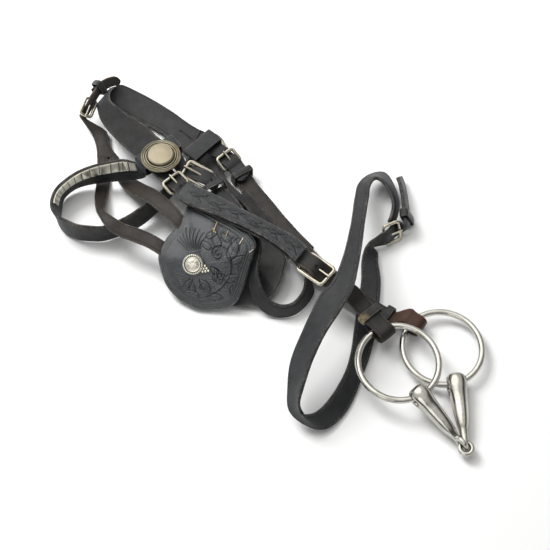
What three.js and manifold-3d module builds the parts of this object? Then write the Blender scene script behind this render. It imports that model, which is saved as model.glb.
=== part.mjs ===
// Horse driving bridle with blinkers and a jointed loose-ring snaffle, lying folded on its far side.
// Millimetres, +Z up, the table at z = 0.
import * as THREE from "three";
import { mergeVertices } from "three/addons/utils/BufferGeometryUtils.js";
import Module from "manifold-3d";

// Driving dimensions
const RING_R = 30.5; // bit ring, to the middle of the wire
const RING_WIRE_R = 2.5;
const BUTT_R = 8.2; // widest part of a mouthpiece arm
const EYE_R = 4.6; // centre-link eye, to the middle of its wire
const EYE_WIRE_R = 1.9;
const BUTT_HOLE_R = 3.6; // hole a bit ring slides through
const BUTT_SWING_DEG = 26; // how far an arm swings on its ring either way
const BUCKLE_WIRE_R = 1.3;
const TONGUE_R = 0.85;
const TONGUE_HUB_R = 2.5;
const TONGUE_HUB_CLEARANCE = 0.35;
const KEEPER_WALL = 1.4;
const ROSETTE_R = 16.2;
const CONCHO_R = 8.2;
const BLINKER_THICKNESS = 3.2;
const CLINCHER_BASE = 0.9;
const CLINCHER_PEAK = 2.3;
const CLINCHER_SQUARES = 12;
const NEAR_RING_C = [93.07, -83.98, 17.7];
const FAR_RING_C = [128.48, -67.94, 8.7];
const NEAR_BUTT = [108.05, -110.55, 17.7];
const FAR_BUTT = [137.32, -97.13, 8.7];
const CENTRE_LINK = [140.35, -147.7, 7.0];
const NEAR_LINK = [140.35, -147.7, 6.05]; // the near arm comes down to the link at a slant
const SHIFT = [10.6, -15.54, 0.1]; // puts the middle of the base at the origin

// Straps: thickness, then stations along the strap, each the two edges of its middle surface [x y z, x y z].
const STRAPS = {
  crown: {
    t: 3.0,
    st: [
      [-105.17, 82.83, 33.5, -86.29, 101.19, 35.5],
      [-114.33, 94.37, 31.0, -96.69, 110.55, 35.0],
      [-127.47, 108.84, 26.0, -108.43, 124.16, 33.0],
      [-139.32, 124.63, 21.0, -120.97, 133.85, 31.0],
      [-148.78, 141.06, 17.0, -132.07, 144.71, 29.0],
      [-152.57, 154.63, 13.0, -140.89, 155.42, 26.0],
      [-154.94, 161.56, 9.5, -143.32, 169.38, 19.0],
      [-152.34, 164.42, 5.0, -141.99, 179.74, 12.0],
      [-142.78, 161.99, 3.2, -134.83, 184.85, 9.0],
      [-131.1, 157.67, 3.2, -122.25, 179.03, 8.0],
      [-115.47, 147.07, 4.5, -106.69, 168.81, 8.5],
      [-99.09, 136.09, 6.5, -90.22, 155.81, 10.0],
      [-84.46, 121.8, 9.0, -74.77, 141.58, 12.0],
    ],
  },
  near_tail_cheek: {
    t: 2.6,
    st: [
      [-109.74, 88.62, 32.2, -101.95, 97.82, 33.2],
      [-103.25, 79.31, 34.4, -94.01, 90.64, 35.0],
      [-90.67, 64.29, 38.09, -80.91, 73.75, 37.55],
      [-89.13, 62.67, 37.54, -79.38, 72.13, 37.0],
      [-87.13, 60.62, 37.7, -77.37, 70.08, 37.15],
      [-84.64, 58.14, 39.22, -74.89, 67.6, 38.68],
      [-82.15, 55.66, 40.75, -72.4, 65.12, 40.2],
      [-80.15, 53.61, 40.9, -70.4, 63.07, 40.36],
      [-78.75, 52.13, 40.4, -68.99, 61.59, 39.86],
      [-75.25, 44.64, 40.9, -66.64, 58.25, 40.9],
    ],
  },
  near_tail_throat: {
    t: 2.6,
    st: [
      [-102.66, 96.55, 33.6, -92.4, 106.82, 34.6],
      [-90.82, 90.34, 34.0, -80.64, 101.1, 34.2],
      [-77.58, 74.52, 33.9, -72.29, 85.51, 34.32],
      [-75.55, 73.57, 33.36, -70.27, 84.55, 33.78],
      [-70.89, 71.33, 33.0, -65.6, 82.32, 33.43],
      [-65.68, 68.79, 33.94, -60.39, 79.78, 34.36],
      [-60.47, 66.24, 34.87, -55.18, 77.23, 35.3],
      [-55.8, 64.01, 34.52, -50.51, 75.0, 34.94],
      [-53.96, 63.14, 34.02, -48.67, 74.13, 34.45],
      [-50.53, 55.87, 35.0, -43.47, 63.92, 35.8],
    ],
  },
  far_tail_cheek: {
    t: 2.6,
    st: [
      [-82.2, 134.1, 10.1, -77.4, 143.6, 11.6],
      [-78.61, 128.61, 11.1, -71.17, 138.05, 12.5],
      [-66.29, 119.01, 11.5, -58.96, 130.88, 12.3],
      [-55.83, 109.18, 10.9, -48.52, 122.48, 11.7],
      [-50.35, 105.32, 12.74, -40.07, 115.24, 12.1],
      [-48.94, 103.79, 11.75, -38.66, 113.72, 11.11],
      [-46.85, 101.6, 11.24, -36.58, 111.53, 10.6],
      [-44.1, 98.8, 11.92, -33.83, 108.72, 11.28],
      [-41.35, 96.0, 12.6, -31.08, 105.92, 11.96],
      [-39.26, 93.81, 12.09, -28.99, 103.73, 11.45],
      [-37.98, 92.41, 11.18, -27.7, 102.34, 10.54],
      [-34.16, 86.94, 11.9, -24.94, 97.15, 11.9],
      [-28.88, 79.83, 11.7, -20.24, 89.47, 11.7],
    ],
  },
  far_tail_throat: {
    t: 2.6,
    st: [
      [-88.81, 124.55, 9.5, -79.53, 130.55, 11.3],
      [-77.04, 111.08, 11.1, -69.67, 119.99, 12.3],
      [-63.97, 100.71, 11.4, -57.43, 109.84, 12.9],
      [-53.92, 93.34, 6.6, -47.83, 103.18, 7.0],
      [-43.38, 79.67, 9.2, -39.9, 85.0, 9.4],
      [-33.97, 66.53, 9.0, -29.5, 72.71, 9.3],
      [-26.33, 55.37, 9.8, -19.83, 63.83, 10.2],
    ],
  },
  throat_far: {
    t: 2.6,
    st: [
      [-30.49, 64.02, 13.0, -23.58, 72.9, 13.6],
      [-15.47, 43.26, 14.0, -8.99, 52.18, 15.0],
      [0.8, 21.71, 14.0, 7.27, 31.37, 15.0],
      [16.73, 2.11, 13.0, 22.35, 10.11, 15.0],
      [26.26, -8.76, 8.0, 28.51, -2.23, 16.0],
      [30.72, -14.73, 2.2, 24.49, -8.87, 15.0],
      [29.05, -20.68, 1.6, 23.62, -15.73, 14.5],
      [23.77, -28.67, 1.6, 21.18, -23.43, 14.0],
      [15.78, -35.71, 1.6, 14.84, -31.22, 13.8],
      [6.3, -38.34, 1.6, 7.02, -33.83, 13.8],
      [-3.94, -36.88, 2.2, -1.56, -31.82, 15.0],
      [-13.35, -31.83, 8.0, -8.56, -25.62, 20.0],
      [-18.83, -22.55, 14.0, -12.47, -15.41, 24.0],
      [-19.65, -10.73, 18.5, -13.28, -5.51, 27.0],
      [-16.59, 4.41, 22.0, -10.99, 7.43, 29.5],
      [-19.82, 18.5, 26.0, -13.44, 23.54, 31.5],
      [-29.51, 32.99, 28.0, -22.3, 38.64, 32.5],
      [-40.11, 46.1, 29.5, -32.11, 52.78, 32.4],
      [-49.15, 55.12, 30.2, -41.2, 63.51, 32.0],
    ],
  },
  near_cheek_outer: {
    t: 2.8,
    st: [
      [-77.43, 46.69, 44.3, -68.51, 61.26, 44.3],
      [-71.63, 40.81, 44.8, -59.5, 54.8, 44.8],
      [-55.6, 33.07, 45.4, -46.58, 47.4, 45.4],
      [-38.95, 24.95, 46.0, -29.01, 36.37, 46.0],
      [-19.35, 14.67, 46.6, -10.9, 25.04, 46.6],
      [-3.85, 5.2, 46.0, 4.65, 15.92, 46.0],
      [7.67, -3.84, 44.8, 17.0, 8.12, 44.8],
      [15.67, -12.14, 44.0, 24.63, 0.14, 44.0],
    ],
  },
  near_cheek_lining: {
    t: 2.4,
    st: [
      [-76.06, 47.76, 37.4, -67.04, 62.41, 37.4],
      [-69.78, 42.34, 38.6, -58.34, 56.42, 38.6],
      [-54.33, 33.71, 40.6, -45.25, 48.09, 40.6],
      [-38.33, 24.68, 41.9, -28.36, 36.6, 41.9],
      [-18.64, 13.42, 42.6, -10.16, 24.26, 42.6],
      [-3.87, 5.28, 41.2, 4.68, 16.49, 41.2],
      [4.64, -0.36, 38.6, 13.25, 11.69, 38.6],
      [10.82, -5.56, 36.8, 19.47, 6.89, 36.8],
    ],
  },
  near_billet: {
    t: 2.6,
    st: [
      [10.01, -5.18, 40.9, 18.61, 7.23, 40.9],
      [13.82, -9.57, 40.9, 22.43, 2.78, 40.9],
      [16.12, -11.25, 40.21, 25.27, -0.35, 40.27],
      [17.72, -12.6, 40.37, 26.88, -1.7, 40.42],
      [22.04, -16.23, 41.25, 31.2, -5.33, 41.3],
      [26.62, -20.08, 41.54, 35.77, -9.18, 41.59],
      [31.39, -24.06, 37.8, 40.54, -13.17, 37.85],
      [35.86, -27.81, 35.41, 45.02, -16.91, 35.46],
      [37.62, -29.29, 35.55, 46.77, -18.39, 35.6],
      [47.41, -33.47, 32.0, 56.2, -21.81, 32.0],
      [55.17, -38.49, 27.5, 64.82, -26.42, 27.5],
      [61.37, -43.83, 23.6, 71.42, -32.66, 23.6],
      [71.34, -55.57, 22.1, 82.5, -46.31, 22.1],
      [74.53, -59.42, 22.1, 85.69, -50.16, 22.1],
      [78.04, -63.65, 22.1, 89.2, -54.4, 22.1],
      [79.44, -65.34, 21.51, 90.61, -56.09, 21.51],
      [80.47, -66.58, 19.9, 91.63, -57.33, 19.9],
      [80.85, -67.04, 17.7, 92.01, -57.78, 17.7],
      [80.47, -66.58, 15.5, 91.63, -57.33, 15.5],
      [79.44, -65.34, 13.89, 90.61, -56.09, 13.89],
      [78.04, -63.65, 13.3, 89.2, -54.4, 13.3],
      [73.57, -58.26, 13.3, 84.74, -49.01, 13.3],
      [69.74, -53.64, 13.3, 80.91, -44.39, 13.3],
    ],
  },
  far_cheek: {
    t: 5.0,
    st: [
      [-36.18, 90.09, 6.2, -26.66, 101.18, 6.2],
      [-31.45, 82.99, 5.6, -21.09, 93.5, 5.6],
      [-26.27, 71.87, 5.2, -13.84, 81.76, 5.2],
      [-17.39, 57.47, 4.8, -3.33, 67.7, 4.8],
      [-5.74, 40.19, 4.8, 7.43, 52.15, 4.8],
      [7.32, 25.09, 4.8, 19.65, 36.39, 4.8],
      [20.16, 9.32, 4.8, 31.68, 22.29, 4.8],
    ],
  },
  far_billet: {
    t: 2.6,
    st: [
      [16.83, 6.69, 9.6, 28.26, 20.5, 9.6],
      [29.44, -6.01, 9.6, 40.09, 7.61, 9.6],
      [42.74, -17.91, 8.4, 52.63, -4.47, 8.4],
      [56.72, -28.7, 7.0, 66.26, -15.85, 7.0],
      [71.25, -39.63, 7.0, 79.65, -26.94, 7.0],
      [82.51, -47.89, 8.0, 90.97, -34.9, 8.0],
      [86.55, -50.61, 9.2, 94.99, -38.09, 9.2],
      [97.44, -48.15, 13.1, 105.84, -36.95, 13.1],
      [101.44, -51.15, 13.1, 109.84, -39.95, 13.1],
      [105.84, -54.45, 13.1, 114.24, -43.25, 13.1],
      [107.6, -55.77, 12.51, 116.0, -44.57, 12.51],
      [108.89, -56.73, 10.9, 117.29, -45.53, 10.9],
      [109.36, -57.09, 8.7, 117.76, -45.89, 8.7],
      [108.89, -56.73, 6.5, 117.29, -45.53, 6.5],
      [107.6, -55.77, 4.89, 116.0, -44.57, 4.89],
      [105.84, -54.45, 4.3, 114.24, -43.25, 4.3],
      [100.24, -50.25, 4.3, 108.64, -39.05, 4.3],
      [97.04, -47.85, 4.3, 105.44, -36.65, 4.3],
    ],
  },
  winker_stay: {
    t: 2.6,
    st: [
      [-133.32, 178.7, 17.5, -136.28, 183.37, 24.0],
      [-141.49, 174.95, 19.5, -144.4, 179.59, 26.0],
      [-149.41, 167.83, 21.0, -151.4, 172.44, 27.5],
      [-153.26, 161.21, 20.07, -158.58, 162.09, 23.79],
      [-153.96, 159.31, 19.51, -159.28, 160.19, 23.23],
      [-155.54, 156.5, 17.92, -160.86, 157.38, 21.64],
      [-157.91, 154.0, 15.12, -163.23, 154.88, 18.83],
      [-160.28, 151.51, 12.31, -165.6, 152.39, 16.03],
      [-161.85, 148.7, 10.72, -167.17, 149.57, 14.44],
      [-162.62, 146.62, 10.1, -167.94, 147.49, 13.82],
      [-146.03, 138.37, 4.8, -157.91, 134.58, 4.2],
      [-140.94, 123.3, 2.4, -153.87, 123.44, 2.2],
      [-134.29, 113.3, 1.9, -151.6, 110.28, 1.8],
    ],
  },
  stay_b1: {
    t: 3.0,
    st: [
      [-151.74, 112.27, 1.9, -142.84, 113.3, 1.9],
      [-151.19, 100.0, 1.9, -140.58, 100.0, 1.9],
      [-150.52, 86.69, 2.2, -139.21, 87.69, 2.2],
      [-150.03, 68.77, 7.0, -139.17, 70.69, 5.5],
      [-145.97, 51.26, 16.5, -139.25, 54.71, 14.0],
      [-139.1, 35.33, 27.2, -136.17, 44.46, 24.5],
      [-132.66, 25.94, 28.2, -129.29, 36.74, 29.5],
      [-123.85, 20.79, 26.0, -120.27, 31.31, 28.5],
      [-114.96, 17.42, 25.5, -108.95, 27.44, 28.0],
      [-102.82, 12.24, 25.0, -97.64, 22.51, 27.0],
      [-93.06, 6.18, 24.5, -88.68, 16.85, 26.5],
    ],
  },
  stay_b2: {
    t: 3.0,
    st: [
      [-141.48, 112.27, 1.9, -134.32, 113.81, 1.9],
      [-138.43, 99.93, 2.0, -127.6, 102.99, 2.0],
      [-132.21, 87.52, 4.0, -118.73, 89.37, 5.0],
      [-122.36, 71.01, 13.5, -106.63, 75.28, 16.0],
      [-105.45, 53.95, 26.0, -94.99, 62.88, 27.0],
      [-92.63, 40.49, 31.0, -84.17, 50.36, 32.5],
      [-81.11, 28.16, 33.0, -74.62, 37.58, 35.0],
    ],
  },
  browband: {
    t: 2.6,
    st: [
      [-109.06, 81.81, 30.2, -109.06, 81.81, 39.4],
      [-107.4, 80.86, 19.5, -111.35, 90.38, 26.1],
      [-120.78, 82.97, 12.5, -122.5, 91.59, 30.0],
      [-131.41, 84.59, 8.5, -129.95, 91.44, 29.5],
      [-148.49, 84.22, 6.0, -147.86, 87.51, 28.6],
      [-162.89, 82.03, 4.0, -161.89, 81.46, 27.5],
      [-172.35, 77.03, 2.5, -172.73, 72.86, 26.5],
      [-177.19, 70.69, 1.6, -179.14, 64.99, 25.2],
      [-177.94, 63.39, 1.5, -181.38, 55.66, 24.8],
      [-178.24, 56.09, 1.5, -180.09, 47.58, 24.8],
      [-178.12, 47.88, 1.5, -175.31, 41.11, 24.6],
      [-171.87, 38.51, 1.5, -168.5, 37.08, 24.6],
      [-161.49, 32.62, 1.5, -158.52, 32.73, 24.4],
      [-151.53, 31.21, 1.5, -147.39, 31.83, 23.4],
      [-140.88, 31.21, 1.5, -137.94, 32.14, 22.4],
      [-129.68, 34.99, 1.5, -128.62, 36.34, 22.4],
      [-118.37, 39.63, 2.5, -118.54, 42.32, 22.6],
      [-107.12, 46.87, 4.0, -108.47, 50.11, 23.0],
      [-96.79, 57.04, 5.5, -99.26, 58.12, 22.4],
      [-88.79, 66.5, 7.5, -91.6, 67.75, 22.4],
      [-81.64, 75.68, 8.5, -84.63, 76.44, 22.5],
      [-74.54, 86.39, 8.8, -76.98, 87.27, 21.0],
      [-72.16, 104.4, 7.9, -72.16, 104.4, 16.3],
    ],
  },
  noseband: {
    t: 3.0,
    st: [
      [101.13, 82.5, 17.0, 106.14, 91.05, 5.5],
      [102.85, 76.1, 17.0, 108.31, 83.88, 5.0],
      [104.31, 64.66, 16.6, 109.77, 72.24, 4.6],
      [104.91, 53.23, 16.4, 110.37, 60.69, 4.3],
      [105.26, 44.78, 16.2, 110.7, 52.03, 4.2],
      [104.96, 37.46, 15.8, 110.18, 43.4, 4.2],
      [100.61, 42.95, 13.45, 103.15, 37.56, 2.53],
      [98.53, 41.97, 13.45, 101.07, 36.58, 2.53],
      [95.99, 39.96, 13.85, 98.53, 34.57, 2.94],
      [93.73, 36.65, 14.96, 96.26, 31.26, 4.04],
      [91.46, 33.35, 16.06, 94.0, 27.96, 5.15],
      [88.92, 31.34, 16.47, 91.46, 25.95, 5.55],
      [87.02, 30.44, 16.47, 89.56, 25.05, 5.55],
      [79.89, 25.53, 13.0, 81.58, 25.52, 2.4],
      [76.66, 23.78, 12.0, 79.89, 23.76, 2.2],
      [72.26, 18.99, 9.0, 83.34, 19.09, 2.2],
      [69.66, 8.67, 6.0, 83.39, 10.86, 2.0],
      [68.85, -6.45, 3.6, 84.64, -5.61, 2.0],
      [65.81, -26.31, 2.2, 82.37, -28.82, 1.9],
      [61.84, -48.37, 2.6, 79.03, -50.53, 1.7],
      [58.23, -70.53, 4.5, 73.91, -70.09, 1.6],
      [52.5, -89.04, 7.0, 67.0, -88.44, 1.6],
      [42.0, -108.09, 10.0, 59.05, -108.02, 1.6],
      [31.13, -121.33, 13.5, 49.54, -122.41, 1.6],
      [20.54, -126.11, 20.0, 37.24, -131.77, 3.5],
      [17.5, -122.55, 27.0, 22.26, -129.48, 8.0],
      [18.94, -115.18, 32.0, 11.12, -121.14, 13.0],
      [24.05, -100.81, 39.0, 9.66, -106.87, 19.0],
      [29.16, -89.16, 45.0, 11.91, -87.15, 27.5],
      [36.93, -74.63, 50.0, 20.91, -66.5, 36.0],
      [48.66, -56.72, 52.5, 33.04, -42.1, 44.0],
      [59.07, -36.01, 51.0, 43.79, -29.16, 46.0],
      [65.54, -6.9, 44.0, 52.27, -5.79, 42.0],
      [70.57, 24.52, 34.5, 59.26, 25.41, 33.0],
      [75.8, 56.49, 25.0, 64.89, 59.63, 20.0],
      [78.37, 72.21, 21.5, 69.24, 77.55, 14.0],
      [83.4, 79.87, 19.5, 79.72, 90.25, 9.0],
      [89.89, 75.62, 18.5, 92.69, 93.41, 6.5],
      [94.85, 66.03, 17.5, 100.37, 77.6, 5.5],
      [96.41, 55.74, 17.0, 102.55, 63.18, 5.0],
      [93.78, 44.3, 17.0, 99.8, 50.59, 5.0],
      [92.21, 41.71, 15.0, 95.69, 42.92, 5.0],
    ],
  },
  stay_chape: {
    t: 1.6,
    st: [
      [-150.89, 169.58, 19.8, -153.37, 173.25, 25.5],
      [-155.44, 164.96, 18.8, -158.19, 167.71, 25.0],
    ],
  },
};
// Buckles: middle of the heel bar, the direction along the strap, across it and out of it; length and width.
const BUCKLES = {
  near_cheek_top: {f: [[-75.68, 58.58, 37.5], [-0.6694, 0.70377, 0.23792], [-0.71719, -0.69572, 0.04009], [0.19374, -0.1438, 0.97046]], L: 12.19, W: 17.87},
  near_throat: {f: [[-53.52, 69.8, 31.6], [-0.87921, 0.41413, 0.23556], [-0.4335, -0.90048, -0.03492], [0.19766, -0.13282, 0.97123]], L: 21.65, W: 15.6},
  far_cheek: {f: [[-34.98, 99.46, 8.8], [-0.61301, 0.66226, 0.43086], [-0.71843, -0.69415, 0.0448], [0.32875, -0.28208, 0.90131]], L: 13.0, W: 17.7},
  near_cheek_bottom: {f: [[22.22, -7.07, 37.2], [0.76426, -0.64225, 0.05847], [0.64317, 0.76571, 0.0038], [-0.04721, 0.0347, 0.99828]], L: 23.94, W: 17.63},
  stay: {f: [[-158.02, 161.3, 19.0], [-0.33507, -0.90365, -0.26674], [0.81229, -0.13361, -0.56774], [0.47739, -0.4069, 0.7788]], L: 15.18, W: 9.95},
  noseband: {f: [[88.74, 31.02, 9.5], [0.90485, 0.42572, 0.0], [-0.20394, 0.43348, 0.87778], [0.37369, -0.79427, 0.47906]], L: 13.82, W: 17.23},
};
// Sleeves and keepers: centre, the direction along the strap, across it and out of it; inside width, inside height, length.
const SLEEVES = {
  near_loop: [[-95.02, 92.92, 34.4], [0.6204, -0.78429, 0.0], [0.78429, 0.6204, 0.0], [-0.0, 0.0, 1.0], 34.4, 8.8, 15.0],
  far_loop: [[-61.5, 115.66, 11.9], [0.72652, -0.68714, 0.0], [0.68714, 0.72652, 0.0], [-0.0, 0.0, 1.0], 29.6, 7.8, 15.0],
  keeper_stay: [[-151.4, 171.0, 23.33], [-0.63177, -0.77385, -0.045], [0.46668, -0.33335, -0.8192], [0.61894, -0.53855, 0.57174], 9.81, 8.03, 5.5],
  keeper_near_throat: [[-48.13, 62.27, 32.97], [0.42379, -0.89671, 0.12775], [0.88793, 0.43914, 0.13688], [-0.17884, 0.05543, 0.98232], 15.0, 8.8, 5.0],
  keeper_far_cheek: [[-27.63, 90.38, 8.2], [0.55784, -0.82767, -0.06149], [0.82869, 0.55955, -0.01377], [0.04581, -0.04328, 0.99801], 16.36, 10.9, 5.5],
  keeper_noseband: [[107.98, 48.41, 10.2], [0.01225, -0.99982, -0.01462], [0.41513, 0.01839, -0.90958], [0.90968, 0.00507, 0.41528], 16.44, 4.4, 7.5],
  keeper_near_bit: [[72.77, -45.94, 22.6], [0.63816, -0.7699, 0.0], [0.7699, 0.63816, 0.0], [-0.0, 0.0, 1.0], 16.6, 5.2, 7.0],
  keeper_far_bit: [[86.74, -41.39, 8.0], [0.79325, -0.59833, 0.11294], [0.60145, 0.79887, 0.00781], [-0.0949, 0.06173, 0.99357], 17.11, 4.6, 6.5],
};
// Blinkers: outline, middle of the panel, dome direction, dome height.
const BLINKERS = {
  near_blinker: {outline: [[-67.8, 46.32, 35.2], [-56.4, 41.72, 36.6], [-43.42, 33.79, 38.2], [-30.65, 26.2, 38.6], [-20.34, 17.0, 38.0], [-14.82, 8.24, 36.0], [-16.36, 1.6, 33.5], [-18.33, -4.2, 29.5], [-20.31, -9.75, 25.0], [-22.7, -15.95, 20.0], [-26.26, -23.69, 14.5], [-30.63, -29.51, 9.5], [-38.24, -31.91, 4.6], [-48.19, -32.59, 2.4], [-60.08, -31.95, 2.0], [-67.22, -29.36, 3.0], [-77.61, -23.29, 5.0], [-85.99, -14.3, 9.0], [-90.72, -3.49, 15.0], [-92.06, 5.94, 22.5], [-86.25, 17.64, 27.5], [-77.21, 27.04, 31.8], [-72.62, 36.09, 34.4]], middle: [-53.8, 1.55, 19.0], normal: [-0.1205, -0.62259, 0.77322], height: 9.5},
  far_blinker: {outline: [[-36.09, 81.41, 4.2], [-30.86, 71.87, 5.2], [-19.79, 52.75, 6.2], [-8.15, 34.52, 8.0], [3.23, 19.38, 8.3], [8.03, 11.27, 9.6], [7.99, 4.11, 11.0], [6.36, -3.68, 12.0], [4.59, -11.07, 12.4], [0.79, -18.77, 11.8], [-5.05, -24.6, 7.6], [-11.05, -29.71, 4.6], [-19.74, -31.08, 3.8], [-28.43, -30.88, 3.4], [-34.76, -29.07, 4.2], [-44.29, -20.95, 7.4], [-53.16, -8.54, 11.0], [-57.44, 4.83, 13.0], [-57.05, 19.86, 14.0], [-54.39, 36.3, 13.0], [-50.94, 54.63, 11.0], [-45.78, 73.04, 8.0]], middle: [-24.87, 14.25, 12.5], normal: [0.07975, 0.0, -0.99682], height: 6.2},
};
// Discs: centre, facing direction.
const DISCS = {
  near_concho: [[-64.01, -5.6, 28.3], [-0.07145, -0.61138, 0.78811]],
  far_concho: [[-24.25, 14.25, 3.12], [0.0, 0.0, -1.0]],
  near_rosette: [[-92.31, 85.77, 41.7], [0.0, 0.06, 1.0]],
  far_rosette: [[-58.59, 121.62, 5.55], [0.0, 0.0, -1.0]],
};

const wasm = await Module();
wasm.setup();
const V = (a) => new THREE.Vector3(a[0], a[1], a[2]);

function solid(geometry) {
  const g = geometry.index ? geometry.toNonIndexed() : geometry;
  const m = mergeVertices(
    new THREE.BufferGeometry().setAttribute("position", g.getAttribute("position")),
    1e-4,
  );
  const p = m.attributes.position.array;
  const t = new Uint32Array(m.index.array);
  let vol = 0;
  for (let i = 0; i < t.length; i += 3) {
    const a = V(p.slice(t[i] * 3, t[i] * 3 + 3)),
      b = V(p.slice(t[i + 1] * 3, t[i + 1] * 3 + 3)),
      c = V(p.slice(t[i + 2] * 3, t[i + 2] * 3 + 3));
    vol += a.dot(b.cross(c));
  }
  if (vol < 0) for (let i = 0; i < t.length; i += 3) [t[i + 1], t[i + 2]] = [t[i + 2], t[i + 1]];
  return new wasm.Manifold(new wasm.Mesh({ numProp: 3, vertProperties: p, triVerts: t }));
}

function geometryOf(s) {
  const m = s.getMesh();
  const g = new THREE.BufferGeometry()
    .setAttribute("position", new THREE.BufferAttribute(new Float32Array(m.vertProperties), 3))
    .setIndex(new THREE.BufferAttribute(new Uint32Array(m.triVerts), 1));
  g.computeVertexNormals();
  return g;
}

// A skin over equal loops of points, with flat ends unless it closes on itself.
function skin(loops, closes = false) {
  const m = loops[0].length,
    pos = [],
    idx = [];
  loops.forEach((l) => l.forEach((q) => pos.push(q.x, q.y, q.z)));
  const n = loops.length;
  for (let i = 0; i < (closes ? n : n - 1); i++)
    for (let j = 0; j < m; j++) {
      const a = i * m + j,
        b = i * m + ((j + 1) % m),
        c = ((i + 1) % n) * m + j,
        d = ((i + 1) % n) * m + ((j + 1) % m);
      idx.push(a, b, d, a, d, c);
    }
  if (!closes)
    for (let j = 1; j < m - 1; j++) {
      idx.push(0, j + 1, j);
      const e = (n - 1) * m;
      idx.push(e, e + j, e + j + 1);
    }
  return new THREE.BufferGeometry()
    .setAttribute("position", new THREE.BufferAttribute(new Float32Array(pos), 3))
    .setIndex(idx);
}

// Catmull-Rom points between the stations of a strap.
function stations(name, per) {
  const s = STRAPS[name].st,
    out = [];
  for (let i = 0; i < s.length - 1; i++) {
    const p1 = s[i],
      p2 = s[i + 1],
      p0 = s[i - 1] || p1.map((v, k) => 2 * v - p2[k]),
      p3 = s[i + 2] || p2.map((v, k) => 2 * v - p1[k]);
    for (let q = 0; q < per; q++) {
      const t = q / per;
      out.push(
        p1.map(
          (v, k) =>
            0.5 *
            (2 * v +
              (p2[k] - p0[k]) * t +
              (2 * p0[k] - 5 * v + 4 * p2[k] - p3[k]) * t * t +
              (3 * v - p0[k] - 3 * p2[k] + p3[k]) * t * t * t),
        ),
      );
    }
  }
  out.push(s[s.length - 1]);
  return out;
}

// Edge points, centre, width, travel and face directions at each station.
function frames(list) {
  const a = list.map((s) => V(s)),
    b = list.map((s) => V(s.slice(3)));
  const c = a.map((q, i) => q.clone().add(b[i]).multiplyScalar(0.5));
  return c.map((q, i) => {
    const t = c[Math.min(i + 1, c.length - 1)].clone().sub(c[Math.max(i - 1, 0)]).normalize();
    const w = b[i].clone().sub(a[i]).normalize();
    return { a: a[i], b: b[i], c: q, t, w, n: t.clone().cross(w).normalize() };
  });
}

function strap(name, per = 3) {
  const h = STRAPS[name].t / 2;
  return solid(
    skin(
      frames(stations(name, per)).map((f) => [
        f.a.clone().addScaledVector(f.n, -h),
        f.b.clone().addScaledVector(f.n, -h),
        f.b.clone().addScaledVector(f.n, h),
        f.a.clone().addScaledVector(f.n, h),
      ]),
    ),
  );
}

function placed(geometry, f) {
  const m = new THREE.Matrix4().makeBasis(V(f[1]), V(f[2]), V(f[3])).setPosition(V(f[0]));
  return solid(geometry.clone().applyMatrix4(m));
}

function box(x0, x1, y0, y1, z0, z1) {
  return new THREE.BoxGeometry(x1 - x0, y1 - y0, z1 - z0).translate((x0 + x1) / 2, (y0 + y1) / 2, (z0 + z1) / 2);
}

// Round wire through points; radii may change along it.
function wire(points, radii, sides, closes = false) {
  const n = points.length,
    loops = [];
  let ref = null;
  for (let i = 0; i < n; i++) {
    const p = points[closes ? (i - 1 + n) % n : Math.max(i - 1, 0)],
      q = points[closes ? (i + 1) % n : Math.min(i + 1, n - 1)];
    const t = q.clone().sub(p).normalize();
    if (!ref) ref = Math.abs(t.z) < 0.9 ? new THREE.Vector3(0, 0, 1) : new THREE.Vector3(1, 0, 0);
    const u = ref.clone().addScaledVector(t, -ref.dot(t)).normalize(),
      v = t.clone().cross(u);
    ref = u;
    const r = Array.isArray(radii) ? radii[i] : radii,
      loop = [];
    for (let k = 0; k < sides; k++) {
      const g = (2 * Math.PI * k) / sides;
      loop.push(points[i].clone().addScaledVector(u, r * Math.cos(g)).addScaledVector(v, r * Math.sin(g)));
    }
    loops.push(loop);
  }
  return skin(loops, closes);
}

// Rectangular buckle frame of round wire with rounded corners, heel bar at x = 0, bowed towards its far bar.
function buckleFrame(L, W) {
  const r = 2.6,
    pts = [];
  const h = W / 2;
  const corner = (cx, cy, a0) => {
    for (let k = 0; k <= 3; k++) {
      const g = ((a0 + k * 30) * Math.PI) / 180;
      pts.push(new THREE.Vector3(cx + r * Math.cos(g), cy + r * Math.sin(g), 0));
    }
  };
  corner(L - r, h - r, 0);
  corner(r, h - r, 90);
  corner(r, -h + r, 180);
  corner(L - r, -h + r, 270);
  return wire(pts, BUCKLE_WIRE_R, 6, true);
}

// Buckle tongue: a hub round the heel bar and a tapering finger that ends on the far bar.
function buckleTongue(f, L) {
  const hub = [];
  const ri = BUCKLE_WIRE_R + TONGUE_HUB_CLEARANCE,
    sides = 12;
  for (let k = 0; k < sides; k++) {
    const g = (2 * Math.PI * k) / sides,
      c = Math.cos(g),
      s = Math.sin(g);
    const k1 = 1 / Math.cos(Math.PI / sides);
    hub.push([
      new THREE.Vector3(ri * k1 * c, -1.3, ri * k1 * s),
      new THREE.Vector3(ri * k1 * c, 1.3, ri * k1 * s),
      new THREE.Vector3(TONGUE_HUB_R * c, 1.3, TONGUE_HUB_R * s),
      new THREE.Vector3(TONGUE_HUB_R * c, -1.3, TONGUE_HUB_R * s),
    ]);
  }
  const top = BUCKLE_WIRE_R + TONGUE_R + 0.35;
  const pts = [
    new THREE.Vector3(1.95, 0, 1.0),
    new THREE.Vector3(L * 0.3, 0, top * 0.75),
    new THREE.Vector3(L * 0.62, 0, top * 1.02),
    new THREE.Vector3(L - 0.6, 0, top),
    new THREE.Vector3(L + 1.0, 0, top - 0.05),
    new THREE.Vector3(L + 1.5, 0, top - 0.1),
  ];
  const fine = new THREE.CatmullRomCurve3(pts).getPoints(9);
  const radii = fine.map((_, i) => (i === fine.length - 1 ? 0.35 : TONGUE_R));
  return placed(skin(hub, true), f).add(placed(wire(fine, radii, 6), f));
}

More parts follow.
